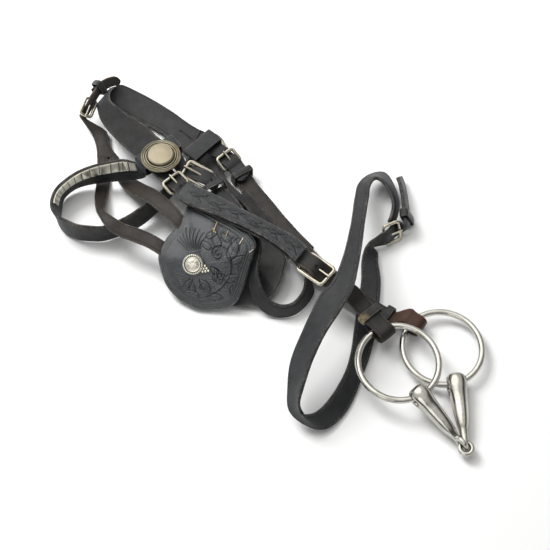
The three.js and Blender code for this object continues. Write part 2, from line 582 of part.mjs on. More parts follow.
// Open sleeve of leather round a strap.
function sleeve(s, name) {
  const [o, x, y, z, w, h, len] = s;
  const f = [o, x, y, z],
    k = KEEPER_WALL;
  return placed(box(-len / 2, len / 2, -w / 2 - k, w / 2 + k, -h / 2 - k, h / 2 + k), f).subtract(
    placed(box(-len, len, -w / 2, w / 2, -h / 2, h / 2), f),
  );
}

// Domed panel from a closed outline.
function dome(b) {
  const curve = new THREE.CatmullRomCurve3(b.outline.map(V), true, "centripetal");
  const N = 30,
    edge = [];
  for (let i = 0; i < N; i++) edge.push(curve.getPointAt(i / N));
  const mid = V(b.middle),
    n = V(b.normal).normalize(),
    rs = [0, 0.25, 0.5, 0.72, 0.9, 1];
  const pos = [],
    idx = [];
  const at = (r, i, side) => {
    const q = mid.clone().lerp(edge[i], r);
    return q.addScaledVector(n, b.height * (1 - r ** 2.4) + (side * BLINKER_THICKNESS) / 2);
  };
  for (const side of [1, -1]) {
    const base = pos.length / 3;
    const c = at(0, 0, side);
    pos.push(c.x, c.y, c.z);
    for (let k = 1; k < rs.length; k++)
      for (let i = 0; i < N; i++) {
        const q = at(rs[k], i, side);
        pos.push(q.x, q.y, q.z);
      }
    const id = (k, i) => base + 1 + (k - 1) * N + ((i + N) % N);
    const tri = (a, c2, d) => (side > 0 ? idx.push(a, c2, d) : idx.push(a, d, c2));
    for (let i = 0; i < N; i++) {
      tri(base, id(1, i), id(1, i + 1));
      for (let k = 1; k < rs.length - 1; k++) {
        tri(id(k, i), id(k + 1, i), id(k + 1, i + 1));
        tri(id(k, i), id(k + 1, i + 1), id(k, i + 1));
      }
    }
  }
  const half = pos.length / 6,
    last = 1 + (rs.length - 2) * N;
  for (let i = 0; i < N; i++) {
    const a = last + i,
      c = last + ((i + 1) % N);
    idx.push(a, a + half, c + half, a, c + half, c);
  }
  return solid(
    new THREE.BufferGeometry().setAttribute("position", new THREE.BufferAttribute(new Float32Array(pos), 3)).setIndex(idx),
  );
}

// Turned disc about its facing direction from [radius, height] pairs.
function turned(profile, segments, o, facing) {
  const g = new THREE.LatheGeometry(
    profile.map((q) => new THREE.Vector2(q[0], q[1])),
    segments,
  ).rotateX(Math.PI / 2);
  const q = new THREE.Quaternion().setFromUnitVectors(new THREE.Vector3(0, 0, 1), V(facing).normalize());
  return solid(g.applyQuaternion(q).translate(o[0], o[1], o[2]));
}

function torus(R, r, around, tubular) {
  return new THREE.TorusGeometry(R, r, around, tubular);
}

// A mouthpiece arm: barrel with a cross hole at the butt, tapering to an eye.
function arm(butt, link, ringC, eyeUpright) {
  const H = V(butt),
    J = V(link);
  const x = J.clone().sub(H).normalize();
  const y = new THREE.Vector3(0, 0, 1).cross(x).normalize();
  const z = x.clone().cross(y);
  const L = J.distanceTo(H);
  const eyeX = eyeUpright ? L - EYE_R : L;
  const neckEnd = eyeX - EYE_R;
  const prof = [
    [0, -7.6], [4.4, -7.3], [6.6, -6.0], [7.8, -3.6], [BUTT_R, -0.6], [8.1, 2.6], [7.5, 6.2], [6.7, 11],
    [6.1, 18], [5.5, 26], [4.4, L - 17.5], [3.0, L - 13.4], [2.2, neckEnd - 0.8], [1.8, neckEnd + 0.6], [0, neckEnd + 0.9],
  ].map((q) => new THREE.Vector2(q[0], q[1]));
  const body = new THREE.LatheGeometry(prof, 20).rotateZ(-Math.PI / 2);
  const f = [H.toArray(), x.toArray(), y.toArray(), z.toArray()];
  let s = placed(body, f);
  const eye = torus(EYE_R, EYE_WIRE_R, 8, 18);
  if (eyeUpright) {
    eye.rotateX(Math.PI / 2);
    s = s.add(placed(eye.translate(eyeX, 0, 0), f));
  } else {
    const g = [J.toArray(), [x.x, x.y, 0], [y.x, y.y, 0], [0, 0, 1]];
    s = s.add(placed(eye, g));
  }
  // the hole follows the ring, flared so the arm can swing on it
  const radial = H.clone().sub(V(ringC));
  const along = new THREE.Vector3(-radial.y, radial.x, 0).normalize();
  for (const a of [-1, -0.5, 0, 0.5, 1]) {
    const d = along.clone().applyAxisAngle(new THREE.Vector3(0, 0, 1), (a * BUTT_SWING_DEG * Math.PI) / 180);
    const q = new THREE.Quaternion().setFromUnitVectors(new THREE.Vector3(0, 1, 0), d);
    s = s.subtract(
      solid(new THREE.CylinderGeometry(BUTT_HOLE_R, BUTT_HOLE_R, 40, 14).applyQuaternion(q).translate(H.x, H.y, H.z)),
    );
  }
  return s;
}

const LEATHER = { color: 0x33383b, roughness: 0.55, metalness: 0 };
const LEATHER_BROWN = { color: 0x5a4a40, roughness: 0.6, metalness: 0 };
const NICKEL = { color: 0xc9c5bb, roughness: 0.18, metalness: 1 };
const SILVER = { color: 0xe6e2d6, roughness: 0.25, metalness: 1 };
const BRASS = { color: 0xd8c79c, roughness: 0.3, metalness: 1 };
const root = new THREE.Group();
root.name = "driving_bridle";
function node(name, s, look) {
  const m = new THREE.Mesh(geometryOf(s).translate(...SHIFT), new THREE.MeshStandardMaterial(look));
  m.name = name;
  root.add(m);
}

// slot a buckle tongue swings through
const slot = (k, x0, x1) => placed(box(x0, x1, -1.7, 1.7, -7, 9), BUCKLES[k].f);

// Headpiece with its split ends
let crown = strap("crown");
for (const k of ["near_tail_cheek", "near_tail_throat", "far_tail_cheek", "far_tail_throat"]) crown = crown.add(strap(k));
crown = crown
  .subtract(slot("near_cheek_top", -2.7, BUCKLES.near_cheek_top.L * 0.62))
  .subtract(slot("near_throat", -2.7, BUCKLES.near_throat.L * 0.5))
  .subtract(slot("far_cheek", -2.7, BUCKLES.far_cheek.L * 0.62));
node("crown", crown, LEATHER);
node("throat_latch", strap("throat_far"), LEATHER);
node("near_cheek_outer", strap("near_cheek_outer"), LEATHER);
node("near_cheek_lining", strap("near_cheek_lining"), LEATHER);
node("far_cheek", strap("far_cheek"), LEATHER_BROWN);
node("near_bit_billet", strap("near_billet").subtract(slot("near_cheek_bottom", -2.7, BUCKLES.near_cheek_bottom.L * 0.9)), LEATHER_BROWN);
node("far_bit_billet", strap("far_billet"), LEATHER_BROWN);
node("noseband", strap("noseband").subtract(slot("noseband", -2.7, BUCKLES.noseband.L * 0.62)), LEATHER);
node(
  "winker_stay",
  strap("winker_stay").add(strap("stay_b1")).add(strap("stay_b2")).subtract(slot("stay", -2.7, BUCKLES.stay.L * 0.6)),
  LEATHER_BROWN,
);
node("winker_stay_chape", strap("stay_chape"), LEATHER_BROWN);
node("browband", strap("browband").add(sleeve(SLEEVES.near_loop)).add(sleeve(SLEEVES.far_loop)), LEATHER);

// Row of pyramid-faced squares along the browband
{
  const list = stations("browband", 6),
    fr = frames(list),
    T = STRAPS.browband.t / 2 + 0.8;
  const first = 8,
    last = 50,
    loops = [];
  const n = CLINCHER_SQUARES * 2;
  for (let i = 0; i <= n; i++) {
    const p = first + ((last - first) * i) / n,
      i0 = Math.floor(p),
      f0 = fr[i0],
      f1 = fr[Math.min(i0 + 1, fr.length - 1)],
      u = p - i0;
    const a = f0.a.clone().lerp(f1.a, u),
      b = f0.b.clone().lerp(f1.b, u),
      nn = f0.n.clone().lerp(f1.n, u).normalize().negate();
    const lo = a.clone().lerp(b, 0.52),
      hi = a.clone().lerp(b, 0.96),
      mid = lo.clone().lerp(hi, 0.5);
    const top = i % 2 ? CLINCHER_PEAK : CLINCHER_BASE;
    loops.push([
      lo.clone().addScaledVector(nn, T),
      hi.clone().addScaledVector(nn, T),
      hi.clone().addScaledVector(nn, T + CLINCHER_BASE),
      mid.clone().addScaledVector(nn, T + top),
      lo.clone().addScaledVector(nn, T + CLINCHER_BASE),
    ]);
  }
  node("clincher_strip", solid(skin(loops)), SILVER);
}

// Rosettes
const ROSETTE_BASE = [[0, 0], [14.6, 0], [16.0, 0.7], [ROSETTE_R, 1.7], [15.5, 2.8], [14.4, 3.1], [13.7, 2.5], [12.9, 2.9], [12.2, 2.2], [0, 2.0]];
const ROSETTE_DOME = [[0, 0], [11.9, 0], [11.9, 0.9], [11.0, 1.7], [8.4, 2.8], [6.0, 3.3], [0, 3.3]];
const lifted = (o, n, d) => V(o).addScaledVector(V(n).normalize(), d).toArray();
for (const k of ["near_rosette", "far_rosette"]) {
  const [o, n] = DISCS[k];
  node(k, turned(ROSETTE_BASE, 28, o, n), BRASS);
  node(k + "_centre", turned(ROSETTE_DOME, 24, lifted(o, n, 2.35), n), BRASS);
}

// Blinkers and their ornaments
node("near_blinker", dome(BLINKERS.near_blinker), LEATHER);
node("far_blinker", dome(BLINKERS.far_blinker), LEATHER);
const CONCHO = [[0, 0], [CONCHO_R, 0], [CONCHO_R, 0.9], [7.3, 1.6], [6.3, 1.1], [5.6, 1.5], [3.2, 2.1], [0, 2.3]];
node("near_concho", turned(CONCHO, 20, ...DISCS.near_concho), SILVER);
node("far_concho", turned(CONCHO, 20, ...DISCS.far_concho), SILVER);

// Buckles: a wire frame and a tongue that swings on its heel bar
for (const k of ["near_cheek_top", "near_throat", "far_cheek", "near_cheek_bottom", "stay", "noseband"]) {
  const b = BUCKLES[k];
  node("buckle_" + k, placed(buckleFrame(b.L, b.W), b.f), NICKEL);
  node("tongue_" + k, buckleTongue(b.f, b.L), NICKEL);
}

// Runner keepers
for (const k of ["keeper_stay", "keeper_near_throat", "keeper_far_cheek", "keeper_noseband", "keeper_near_bit", "keeper_far_bit"])
  node(k, sleeve(SLEEVES[k]), LEATHER);

// Bit
node("near_ring", solid(torus(RING_R, RING_WIRE_R, 10, 40).translate(...NEAR_RING_C)), NICKEL);
node("far_ring", solid(torus(RING_R, RING_WIRE_R, 10, 40).translate(...FAR_RING_C)), NICKEL);
node("near_mouthpiece", arm(NEAR_BUTT, NEAR_LINK, NEAR_RING_C, true), NICKEL);
node("far_mouthpiece", arm(FAR_BUTT, CENTRE_LINK, FAR_RING_C, false), NICKEL);


export default root;
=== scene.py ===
import math

import bpy
import numpy as np
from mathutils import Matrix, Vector


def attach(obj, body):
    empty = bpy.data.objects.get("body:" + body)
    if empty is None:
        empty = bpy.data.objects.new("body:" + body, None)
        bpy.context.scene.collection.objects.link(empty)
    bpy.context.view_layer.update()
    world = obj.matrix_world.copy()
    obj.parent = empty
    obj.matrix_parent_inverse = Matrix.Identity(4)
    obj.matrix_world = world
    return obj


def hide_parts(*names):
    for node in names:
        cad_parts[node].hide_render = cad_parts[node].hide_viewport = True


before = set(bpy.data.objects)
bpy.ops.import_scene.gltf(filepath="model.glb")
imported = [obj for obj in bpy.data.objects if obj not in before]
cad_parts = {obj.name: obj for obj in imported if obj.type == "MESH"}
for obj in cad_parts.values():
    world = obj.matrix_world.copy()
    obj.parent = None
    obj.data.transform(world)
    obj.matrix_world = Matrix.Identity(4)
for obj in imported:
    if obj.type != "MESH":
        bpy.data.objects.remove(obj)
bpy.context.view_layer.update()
RNG = np.random.RandomState(7)

# Measures of the object, millimetres in its design frame; SHIFT takes them to the row frame.
SHIFT = np.array([10.6, -15.54, 0.1])
# strap: thickness, stations along it (the two edges of its middle surface)
STRAPS = {
    'crown': {"t": 3.0, "st": [[-105.17, 82.83, 33.5, -86.29, 101.19, 35.5], [-114.33, 94.37, 31.0, -96.69, 110.55, 35.0], [-127.47, 108.84, 26.0, -108.43, 124.16, 33.0], [-139.32, 124.63, 21.0, -120.97, 133.85, 31.0], [-148.78, 141.06, 17.0, -132.07, 144.71, 29.0], [-152.57, 154.63, 13.0, -140.89, 155.42, 26.0], [-154.94, 161.56, 9.5, -143.32, 169.38, 19.0], [-152.34, 164.42, 5.0, -141.99, 179.74, 12.0], [-142.78, 161.99, 3.2, -134.83, 184.85, 9.0], [-131.1, 157.67, 3.2, -122.25, 179.03, 8.0], [-115.47, 147.07, 4.5, -106.69, 168.81, 8.5], [-99.09, 136.09, 6.5, -90.22, 155.81, 10.0], [-84.46, 121.8, 9.0, -74.77, 141.58, 12.0]]},
    'near_tail_cheek': {"t": 2.6, "st": [[-109.74, 88.62, 32.2, -101.95, 97.82, 33.2], [-103.25, 79.31, 34.4, -94.01, 90.64, 35.0], [-90.67, 64.29, 38.09, -80.91, 73.75, 37.55], [-89.13, 62.67, 37.54, -79.38, 72.13, 37.0], [-87.13, 60.62, 37.7, -77.37, 70.08, 37.15], [-84.64, 58.14, 39.22, -74.89, 67.6, 38.68], [-82.15, 55.66, 40.75, -72.4, 65.12, 40.2], [-80.15, 53.61, 40.9, -70.4, 63.07, 40.36], [-78.75, 52.13, 40.4, -68.99, 61.59, 39.86], [-75.25, 44.64, 40.9, -66.64, 58.25, 40.9]]},
    'near_tail_throat': {"t": 2.6, "st": [[-102.66, 96.55, 33.6, -92.4, 106.82, 34.6], [-90.82, 90.34, 34.0, -80.64, 101.1, 34.2], [-77.58, 74.52, 33.9, -72.29, 85.51, 34.32], [-75.55, 73.57, 33.36, -70.27, 84.55, 33.78], [-70.89, 71.33, 33.0, -65.6, 82.32, 33.43], [-65.68, 68.79, 33.94, -60.39, 79.78, 34.36], [-60.47, 66.24, 34.87, -55.18, 77.23, 35.3], [-55.8, 64.01, 34.52, -50.51, 75.0, 34.94], [-53.96, 63.14, 34.02, -48.67, 74.13, 34.45], [-50.53, 55.87, 35.0, -43.47, 63.92, 35.8]]},
    'far_tail_cheek': {"t": 2.6, "st": [[-82.2, 134.1, 10.1, -77.4, 143.6, 11.6], [-78.61, 128.61, 11.1, -71.17, 138.05, 12.5], [-66.29, 119.01, 11.5, -58.96, 130.88, 12.3], [-55.83, 109.18, 10.9, -48.52, 122.48, 11.7], [-50.35, 105.32, 12.74, -40.07, 115.24, 12.1], [-48.94, 103.79, 11.75, -38.66, 113.72, 11.11], [-46.85, 101.6, 11.24, -36.58, 111.53, 10.6], [-44.1, 98.8, 11.92, -33.83, 108.72, 11.28], [-41.35, 96.0, 12.6, -31.08, 105.92, 11.96], [-39.26, 93.81, 12.09, -28.99, 103.73, 11.45], [-37.98, 92.41, 11.18, -27.7, 102.34, 10.54], [-34.16, 86.94, 11.9, -24.94, 97.15, 11.9], [-28.88, 79.83, 11.7, -20.24, 89.47, 11.7]]},
    'far_tail_throat': {"t": 2.6, "st": [[-88.81, 124.55, 9.5, -79.53, 130.55, 11.3], [-77.04, 111.08, 11.1, -69.67, 119.99, 12.3], [-63.97, 100.71, 11.4, -57.43, 109.84, 12.9], [-53.92, 93.34, 6.6, -47.83, 103.18, 7.0], [-43.38, 79.67, 9.2, -39.9, 85.0, 9.4], [-33.97, 66.53, 9.0, -29.5, 72.71, 9.3], [-26.33, 55.37, 9.8, -19.83, 63.83, 10.2]]},
    'throat_far': {"t": 2.6, "st": [[-30.49, 64.02, 13.0, -23.58, 72.9, 13.6], [-15.47, 43.26, 14.0, -8.99, 52.18, 15.0], [0.8, 21.71, 14.0, 7.27, 31.37, 15.0], [16.73, 2.11, 13.0, 22.35, 10.11, 15.0], [26.26, -8.76, 8.0, 28.51, -2.23, 16.0], [30.72, -14.73, 2.2, 24.49, -8.87, 15.0], [29.05, -20.68, 1.6, 23.62, -15.73, 14.5], [23.77, -28.67, 1.6, 21.18, -23.43, 14.0], [15.78, -35.71, 1.6, 14.84, -31.22, 13.8], [6.3, -38.34, 1.6, 7.02, -33.83, 13.8], [-3.94, -36.88, 2.2, -1.56, -31.82, 15.0], [-13.35, -31.83, 8.0, -8.56, -25.62, 20.0], [-18.83, -22.55, 14.0, -12.47, -15.41, 24.0], [-19.65, -10.73, 18.5, -13.28, -5.51, 27.0], [-16.59, 4.41, 22.0, -10.99, 7.43, 29.5], [-19.82, 18.5, 26.0, -13.44, 23.54, 31.5], [-29.51, 32.99, 28.0, -22.3, 38.64, 32.5], [-40.11, 46.1, 29.5, -32.11, 52.78, 32.4], [-49.15, 55.12, 30.2, -41.2, 63.51, 32.0]]},
    'near_cheek_outer': {"t": 2.8, "st": [[-77.43, 46.69, 44.3, -68.51, 61.26, 44.3], [-71.63, 40.81, 44.8, -59.5, 54.8, 44.8], [-55.6, 33.07, 45.4, -46.58, 47.4, 45.4], [-38.95, 24.95, 46.0, -29.01, 36.37, 46.0], [-19.35, 14.67, 46.6, -10.9, 25.04, 46.6], [-3.85, 5.2, 46.0, 4.65, 15.92, 46.0], [7.67, -3.84, 44.8, 17.0, 8.12, 44.8], [15.67, -12.14, 44.0, 24.63, 0.14, 44.0]]},
    'near_cheek_lining': {"t": 2.4, "st": [[-76.06, 47.76, 37.4, -67.04, 62.41, 37.4], [-69.78, 42.34, 38.6, -58.34, 56.42, 38.6], [-54.33, 33.71, 40.6, -45.25, 48.09, 40.6], [-38.33, 24.68, 41.9, -28.36, 36.6, 41.9], [-18.64, 13.42, 42.6, -10.16, 24.26, 42.6], [-3.87, 5.28, 41.2, 4.68, 16.49, 41.2], [4.64, -0.36, 38.6, 13.25, 11.69, 38.6], [10.82, -5.56, 36.8, 19.47, 6.89, 36.8]]},
    'near_billet': {"t": 2.6, "st": [[10.01, -5.18, 40.9, 18.61, 7.23, 40.9], [13.82, -9.57, 40.9, 22.43, 2.78, 40.9], [16.12, -11.25, 40.21, 25.27, -0.35, 40.27], [17.72, -12.6, 40.37, 26.88, -1.7, 40.42], [22.04, -16.23, 41.25, 31.2, -5.33, 41.3], [26.62, -20.08, 41.54, 35.77, -9.18, 41.59], [31.39, -24.06, 37.8, 40.54, -13.17, 37.85], [35.86, -27.81, 35.41, 45.02, -16.91, 35.46], [37.62, -29.29, 35.55, 46.77, -18.39, 35.6], [47.41, -33.47, 32.0, 56.2, -21.81, 32.0], [55.17, -38.49, 27.5, 64.82, -26.42, 27.5], [61.37, -43.83, 23.6, 71.42, -32.66, 23.6], [71.34, -55.57, 22.1, 82.5, -46.31, 22.1], [74.53, -59.42, 22.1, 85.69, -50.16, 22.1], [78.04, -63.65, 22.1, 89.2, -54.4, 22.1], [79.44, -65.34, 21.51, 90.61, -56.09, 21.51], [80.47, -66.58, 19.9, 91.63, -57.33, 19.9], [80.85, -67.04, 17.7, 92.01, -57.78, 17.7], [80.47, -66.58, 15.5, 91.63, -57.33, 15.5], [79.44, -65.34, 13.89, 90.61, -56.09, 13.89], [78.04, -63.65, 13.3, 89.2, -54.4, 13.3], [73.57, -58.26, 13.3, 84.74, -49.01, 13.3], [69.74, -53.64, 13.3, 80.91, -44.39, 13.3]]},
    'far_cheek': {"t": 5.0, "st": [[-36.18, 90.09, 6.2, -26.66, 101.18, 6.2], [-31.45, 82.99, 5.6, -21.09, 93.5, 5.6], [-26.27, 71.87, 5.2, -13.84, 81.76, 5.2], [-17.39, 57.47, 4.8, -3.33, 67.7, 4.8], [-5.74, 40.19, 4.8, 7.43, 52.15, 4.8], [7.32, 25.09, 4.8, 19.65, 36.39, 4.8], [20.16, 9.32, 4.8, 31.68, 22.29, 4.8]]},
    'far_billet': {"t": 2.6, "st": [[16.83, 6.69, 9.6, 28.26, 20.5, 9.6], [29.44, -6.01, 9.6, 40.09, 7.61, 9.6], [42.74, -17.91, 8.4, 52.63, -4.47, 8.4], [56.72, -28.7, 7.0, 66.26, -15.85, 7.0], [71.25, -39.63, 7.0, 79.65, -26.94, 7.0], [82.51, -47.89, 8.0, 90.97, -34.9, 8.0], [86.55, -50.61, 9.2, 94.99, -38.09, 9.2], [97.44, -48.15, 13.1, 105.84, -36.95, 13.1], [101.44, -51.15, 13.1, 109.84, -39.95, 13.1], [105.84, -54.45, 13.1, 114.24, -43.25, 13.1], [107.6, -55.77, 12.51, 116.0, -44.57, 12.51], [108.89, -56.73, 10.9, 117.29, -45.53, 10.9], [109.36, -57.09, 8.7, 117.76, -45.89, 8.7], [108.89, -56.73, 6.5, 117.29, -45.53, 6.5], [107.6, -55.77, 4.89, 116.0, -44.57, 4.89], [105.84, -54.45, 4.3, 114.24, -43.25, 4.3], [100.24, -50.25, 4.3, 108.64, -39.05, 4.3], [97.04, -47.85, 4.3, 105.44, -36.65, 4.3]]},
    'winker_stay': {"t": 2.6, "st": [[-133.32, 178.7, 17.5, -136.28, 183.37, 24.0], [-141.49, 174.95, 19.5, -144.4, 179.59, 26.0], [-149.41, 167.83, 21.0, -151.4, 172.44, 27.5], [-153.26, 161.21, 20.07, -158.58, 162.09, 23.79], [-153.96, 159.31, 19.51, -159.28, 160.19, 23.23], [-155.54, 156.5, 17.92, -160.86, 157.38, 21.64], [-157.91, 154.0, 15.12, -163.23, 154.88, 18.83], [-160.28, 151.51, 12.31, -165.6, 152.39, 16.03], [-161.85, 148.7, 10.72, -167.17, 149.57, 14.44], [-162.62, 146.62, 10.1, -167.94, 147.49, 13.82], [-146.03, 138.37, 4.8, -157.91, 134.58, 4.2], [-140.94, 123.3, 2.4, -153.87, 123.44, 2.2], [-134.29, 113.3, 1.9, -151.6, 110.28, 1.8]]},
    'stay_b1': {"t": 3.0, "st": [[-151.74, 112.27, 1.9, -142.84, 113.3, 1.9], [-151.19, 100.0, 1.9, -140.58, 100.0, 1.9], [-150.52, 86.69, 2.2, -139.21, 87.69, 2.2], [-150.03, 68.77, 7.0, -139.17, 70.69, 5.5], [-145.97, 51.26, 16.5, -139.25, 54.71, 14.0], [-139.1, 35.33, 27.2, -136.17, 44.46, 24.5], [-132.66, 25.94, 28.2, -129.29, 36.74, 29.5], [-123.85, 20.79, 26.0, -120.27, 31.31, 28.5], [-114.96, 17.42, 25.5, -108.95, 27.44, 28.0], [-102.82, 12.24, 25.0, -97.64, 22.51, 27.0], [-93.06, 6.18, 24.5, -88.68, 16.85, 26.5]]},
    'stay_b2': {"t": 3.0, "st": [[-141.48, 112.27, 1.9, -134.32, 113.81, 1.9], [-138.43, 99.93, 2.0, -127.6, 102.99, 2.0], [-132.21, 87.52, 4.0, -118.73, 89.37, 5.0], [-122.36, 71.01, 13.5, -106.63, 75.28, 16.0], [-105.45, 53.95, 26.0, -94.99, 62.88, 27.0], [-92.63, 40.49, 31.0, -84.17, 50.36, 32.5], [-81.11, 28.16, 33.0, -74.62, 37.58, 35.0]]},
    'browband': {"t": 2.6, "st": [[-109.06, 81.81, 30.2, -109.06, 81.81, 39.4], [-107.4, 80.86, 19.5, -111.35, 90.38, 26.1], [-120.78, 82.97, 12.5, -122.5, 91.59, 30.0], [-131.41, 84.59, 8.5, -129.95, 91.44, 29.5], [-148.49, 84.22, 6.0, -147.86, 87.51, 28.6], [-162.89, 82.03, 4.0, -161.89, 81.46, 27.5], [-172.35, 77.03, 2.5, -172.73, 72.86, 26.5], [-177.19, 70.69, 1.6, -179.14, 64.99, 25.2], [-177.94, 63.39, 1.5, -181.38, 55.66, 24.8], [-178.24, 56.09, 1.5, -180.09, 47.58, 24.8], [-178.12, 47.88, 1.5, -175.31, 41.11, 24.6], [-171.87, 38.51, 1.5, -168.5, 37.08, 24.6], [-161.49, 32.62, 1.5, -158.52, 32.73, 24.4], [-151.53, 31.21, 1.5, -147.39, 31.83, 23.4], [-140.88, 31.21, 1.5, -137.94, 32.14, 22.4], [-129.68, 34.99, 1.5, -128.62, 36.34, 22.4], [-118.37, 39.63, 2.5, -118.54, 42.32, 22.6], [-107.12, 46.87, 4.0, -108.47, 50.11, 23.0], [-96.79, 57.04, 5.5, -99.26, 58.12, 22.4], [-88.79, 66.5, 7.5, -91.6, 67.75, 22.4], [-81.64, 75.68, 8.5, -84.63, 76.44, 22.5], [-74.54, 86.39, 8.8, -76.98, 87.27, 21.0], [-72.16, 104.4, 7.9, -72.16, 104.4, 16.3]]},
    'noseband': {"t": 3.0, "st": [[101.13, 82.5, 17.0, 106.14, 91.05, 5.5], [102.85, 76.1, 17.0, 108.31, 83.88, 5.0], [104.31, 64.66, 16.6, 109.77, 72.24, 4.6], [104.91, 53.23, 16.4, 110.37, 60.69, 4.3], [105.26, 44.78, 16.2, 110.7, 52.03, 4.2], [104.96, 37.46, 15.8, 110.18, 43.4, 4.2], [100.61, 42.95, 13.45, 103.15, 37.56, 2.53], [98.53, 41.97, 13.45, 101.07, 36.58, 2.53], [95.99, 39.96, 13.85, 98.53, 34.57, 2.94], [93.73, 36.65, 14.96, 96.26, 31.26, 4.04], [91.46, 33.35, 16.06, 94.0, 27.96, 5.15], [88.92, 31.34, 16.47, 91.46, 25.95, 5.55], [87.02, 30.44, 16.47, 89.56, 25.05, 5.55], [79.89, 25.53, 13.0, 81.58, 25.52, 2.4], [76.66, 23.78, 12.0, 79.89, 23.76, 2.2], [72.26, 18.99, 9.0, 83.34, 19.09, 2.2], [69.66, 8.67, 6.0, 83.39, 10.86, 2.0], [68.85, -6.45, 3.6, 84.64, -5.61, 2.0], [65.81, -26.31, 2.2, 82.37, -28.82, 1.9], [61.84, -48.37, 2.6, 79.03, -50.53, 1.7], [58.23, -70.53, 4.5, 73.91, -70.09, 1.6], [52.5, -89.04, 7.0, 67.0, -88.44, 1.6], [42.0, -108.09, 10.0, 59.05, -108.02, 1.6], [31.13, -121.33, 13.5, 49.54, -122.41, 1.6], [20.54, -126.11, 20.0, 37.24, -131.77, 3.5], [17.5, -122.55, 27.0, 22.26, -129.48, 8.0], [18.94, -115.18, 32.0, 11.12, -121.14, 13.0], [24.05, -100.81, 39.0, 9.66, -106.87, 19.0], [29.16, -89.16, 45.0, 11.91, -87.15, 27.5], [36.93, -74.63, 50.0, 20.91, -66.5, 36.0], [48.66, -56.72, 52.5, 33.04, -42.1, 44.0], [59.07, -36.01, 51.0, 43.79, -29.16, 46.0], [65.54, -6.9, 44.0, 52.27, -5.79, 42.0], [70.57, 24.52, 34.5, 59.26, 25.41, 33.0], [75.8, 56.49, 25.0, 64.89, 59.63, 20.0], [78.37, 72.21, 21.5, 69.24, 77.55, 14.0], [83.4, 79.87, 19.5, 79.72, 90.25, 9.0], [89.89, 75.62, 18.5, 92.69, 93.41, 6.5], [94.85, 66.03, 17.5, 100.37, 77.6, 5.5], [96.41, 55.74, 17.0, 102.55, 63.18, 5.0], [93.78, 44.3, 17.0, 99.8, 50.59, 5.0], [92.21, 41.71, 15.0, 95.69, 42.92, 5.0]]},
    'stay_chape': {"t": 1.6, "st": [[-150.89, 169.58, 19.8, -153.37, 173.25, 25.5], [-155.44, 164.96, 18.8, -158.19, 167.71, 25.0]]},
}
# buckle: heel bar middle, directions along, across and out; length; width
BUCKLES = {
    'near_cheek_top': {"f": [[-75.68, 58.58, 37.5], [-0.669, 0.704, 0.238], [-0.717, -0.696, 0.04], [0.194, -0.144, 0.97]], "L": 12.189, "W": 17.872},
    'near_throat': {"f": [[-53.52, 69.8, 31.6], [-0.879, 0.414, 0.236], [-0.433, -0.9, -0.035], [0.198, -0.133, 0.971]], "L": 21.65, "W": 15.602},
    'far_cheek': {"f": [[-34.98, 99.46, 8.8], [-0.613, 0.662, 0.431], [-0.718, -0.694, 0.045], [0.329, -0.282, 0.901]], "L": 12.997, "W": 17.698},
    'near_cheek_bottom': {"f": [[22.22, -7.07, 37.2], [0.764, -0.642, 0.058], [0.643, 0.766, 0.004], [-0.047, 0.035, 0.998]], "L": 23.944, "W": 17.633},
    'stay': {"f": [[-158.02, 161.3, 19.0], [-0.335, -0.904, -0.267], [0.812, -0.134, -0.568], [0.477, -0.407, 0.779]], "L": 15.183, "W": 9.95},
    'noseband': {"f": [[88.74, 31.02, 9.5], [0.905, 0.426, 0.0], [-0.204, 0.433, 0.878], [0.374, -0.794, 0.479]], "L": 13.824, "W": 17.234},
}
# loop: centre, directions, inside width, inside height, length
SLEEVES = {
    'near_loop': [[-95.02, 92.92, 34.4], [0.62, -0.784, 0.0], [0.784, 0.62, 0.0], [-0.0, 0.0, 1.0], 34.4, 8.8, 15.0],
    'far_loop': [[-61.5, 115.66, 11.9], [0.727, -0.687, 0.0], [0.687, 0.727, 0.0], [-0.0, 0.0, 1.0], 29.6, 7.8, 15.0],
    'keeper_stay': [[-151.4, 171.0, 23.33], [-0.632, -0.774, -0.045], [0.467, -0.333, -0.819], [0.619, -0.539, 0.572], 9.814, 8.026, 5.5],
    'keeper_near_throat': [[-48.13, 62.27, 32.97], [0.424, -0.897, 0.128], [0.888, 0.439, 0.137], [-0.179, 0.055, 0.982], 15.0, 8.8, 5.0],
    'keeper_far_cheek': [[-27.63, 90.38, 8.2], [0.558, -0.828, -0.061], [0.829, 0.56, -0.014], [0.046, -0.043, 0.998], 16.362, 10.9, 5.5],
    'keeper_noseband': [[107.98, 48.41, 10.2], [0.012, -1.0, -0.015], [0.415, 0.018, -0.91], [0.91, 0.005, 0.415], 16.439, 4.4, 7.5],
    'keeper_near_bit': [[72.77, -45.94, 22.6], [0.638, -0.77, 0.0], [0.77, 0.638, 0.0], [-0.0, 0.0, 1.0], 16.6, 5.2, 7.0],
    'keeper_far_bit': [[86.74, -41.39, 8.0], [0.793, -0.598, 0.113], [0.601, 0.799, 0.008], [-0.095, 0.062, 0.994], 17.106, 4.6, 6.5],
}
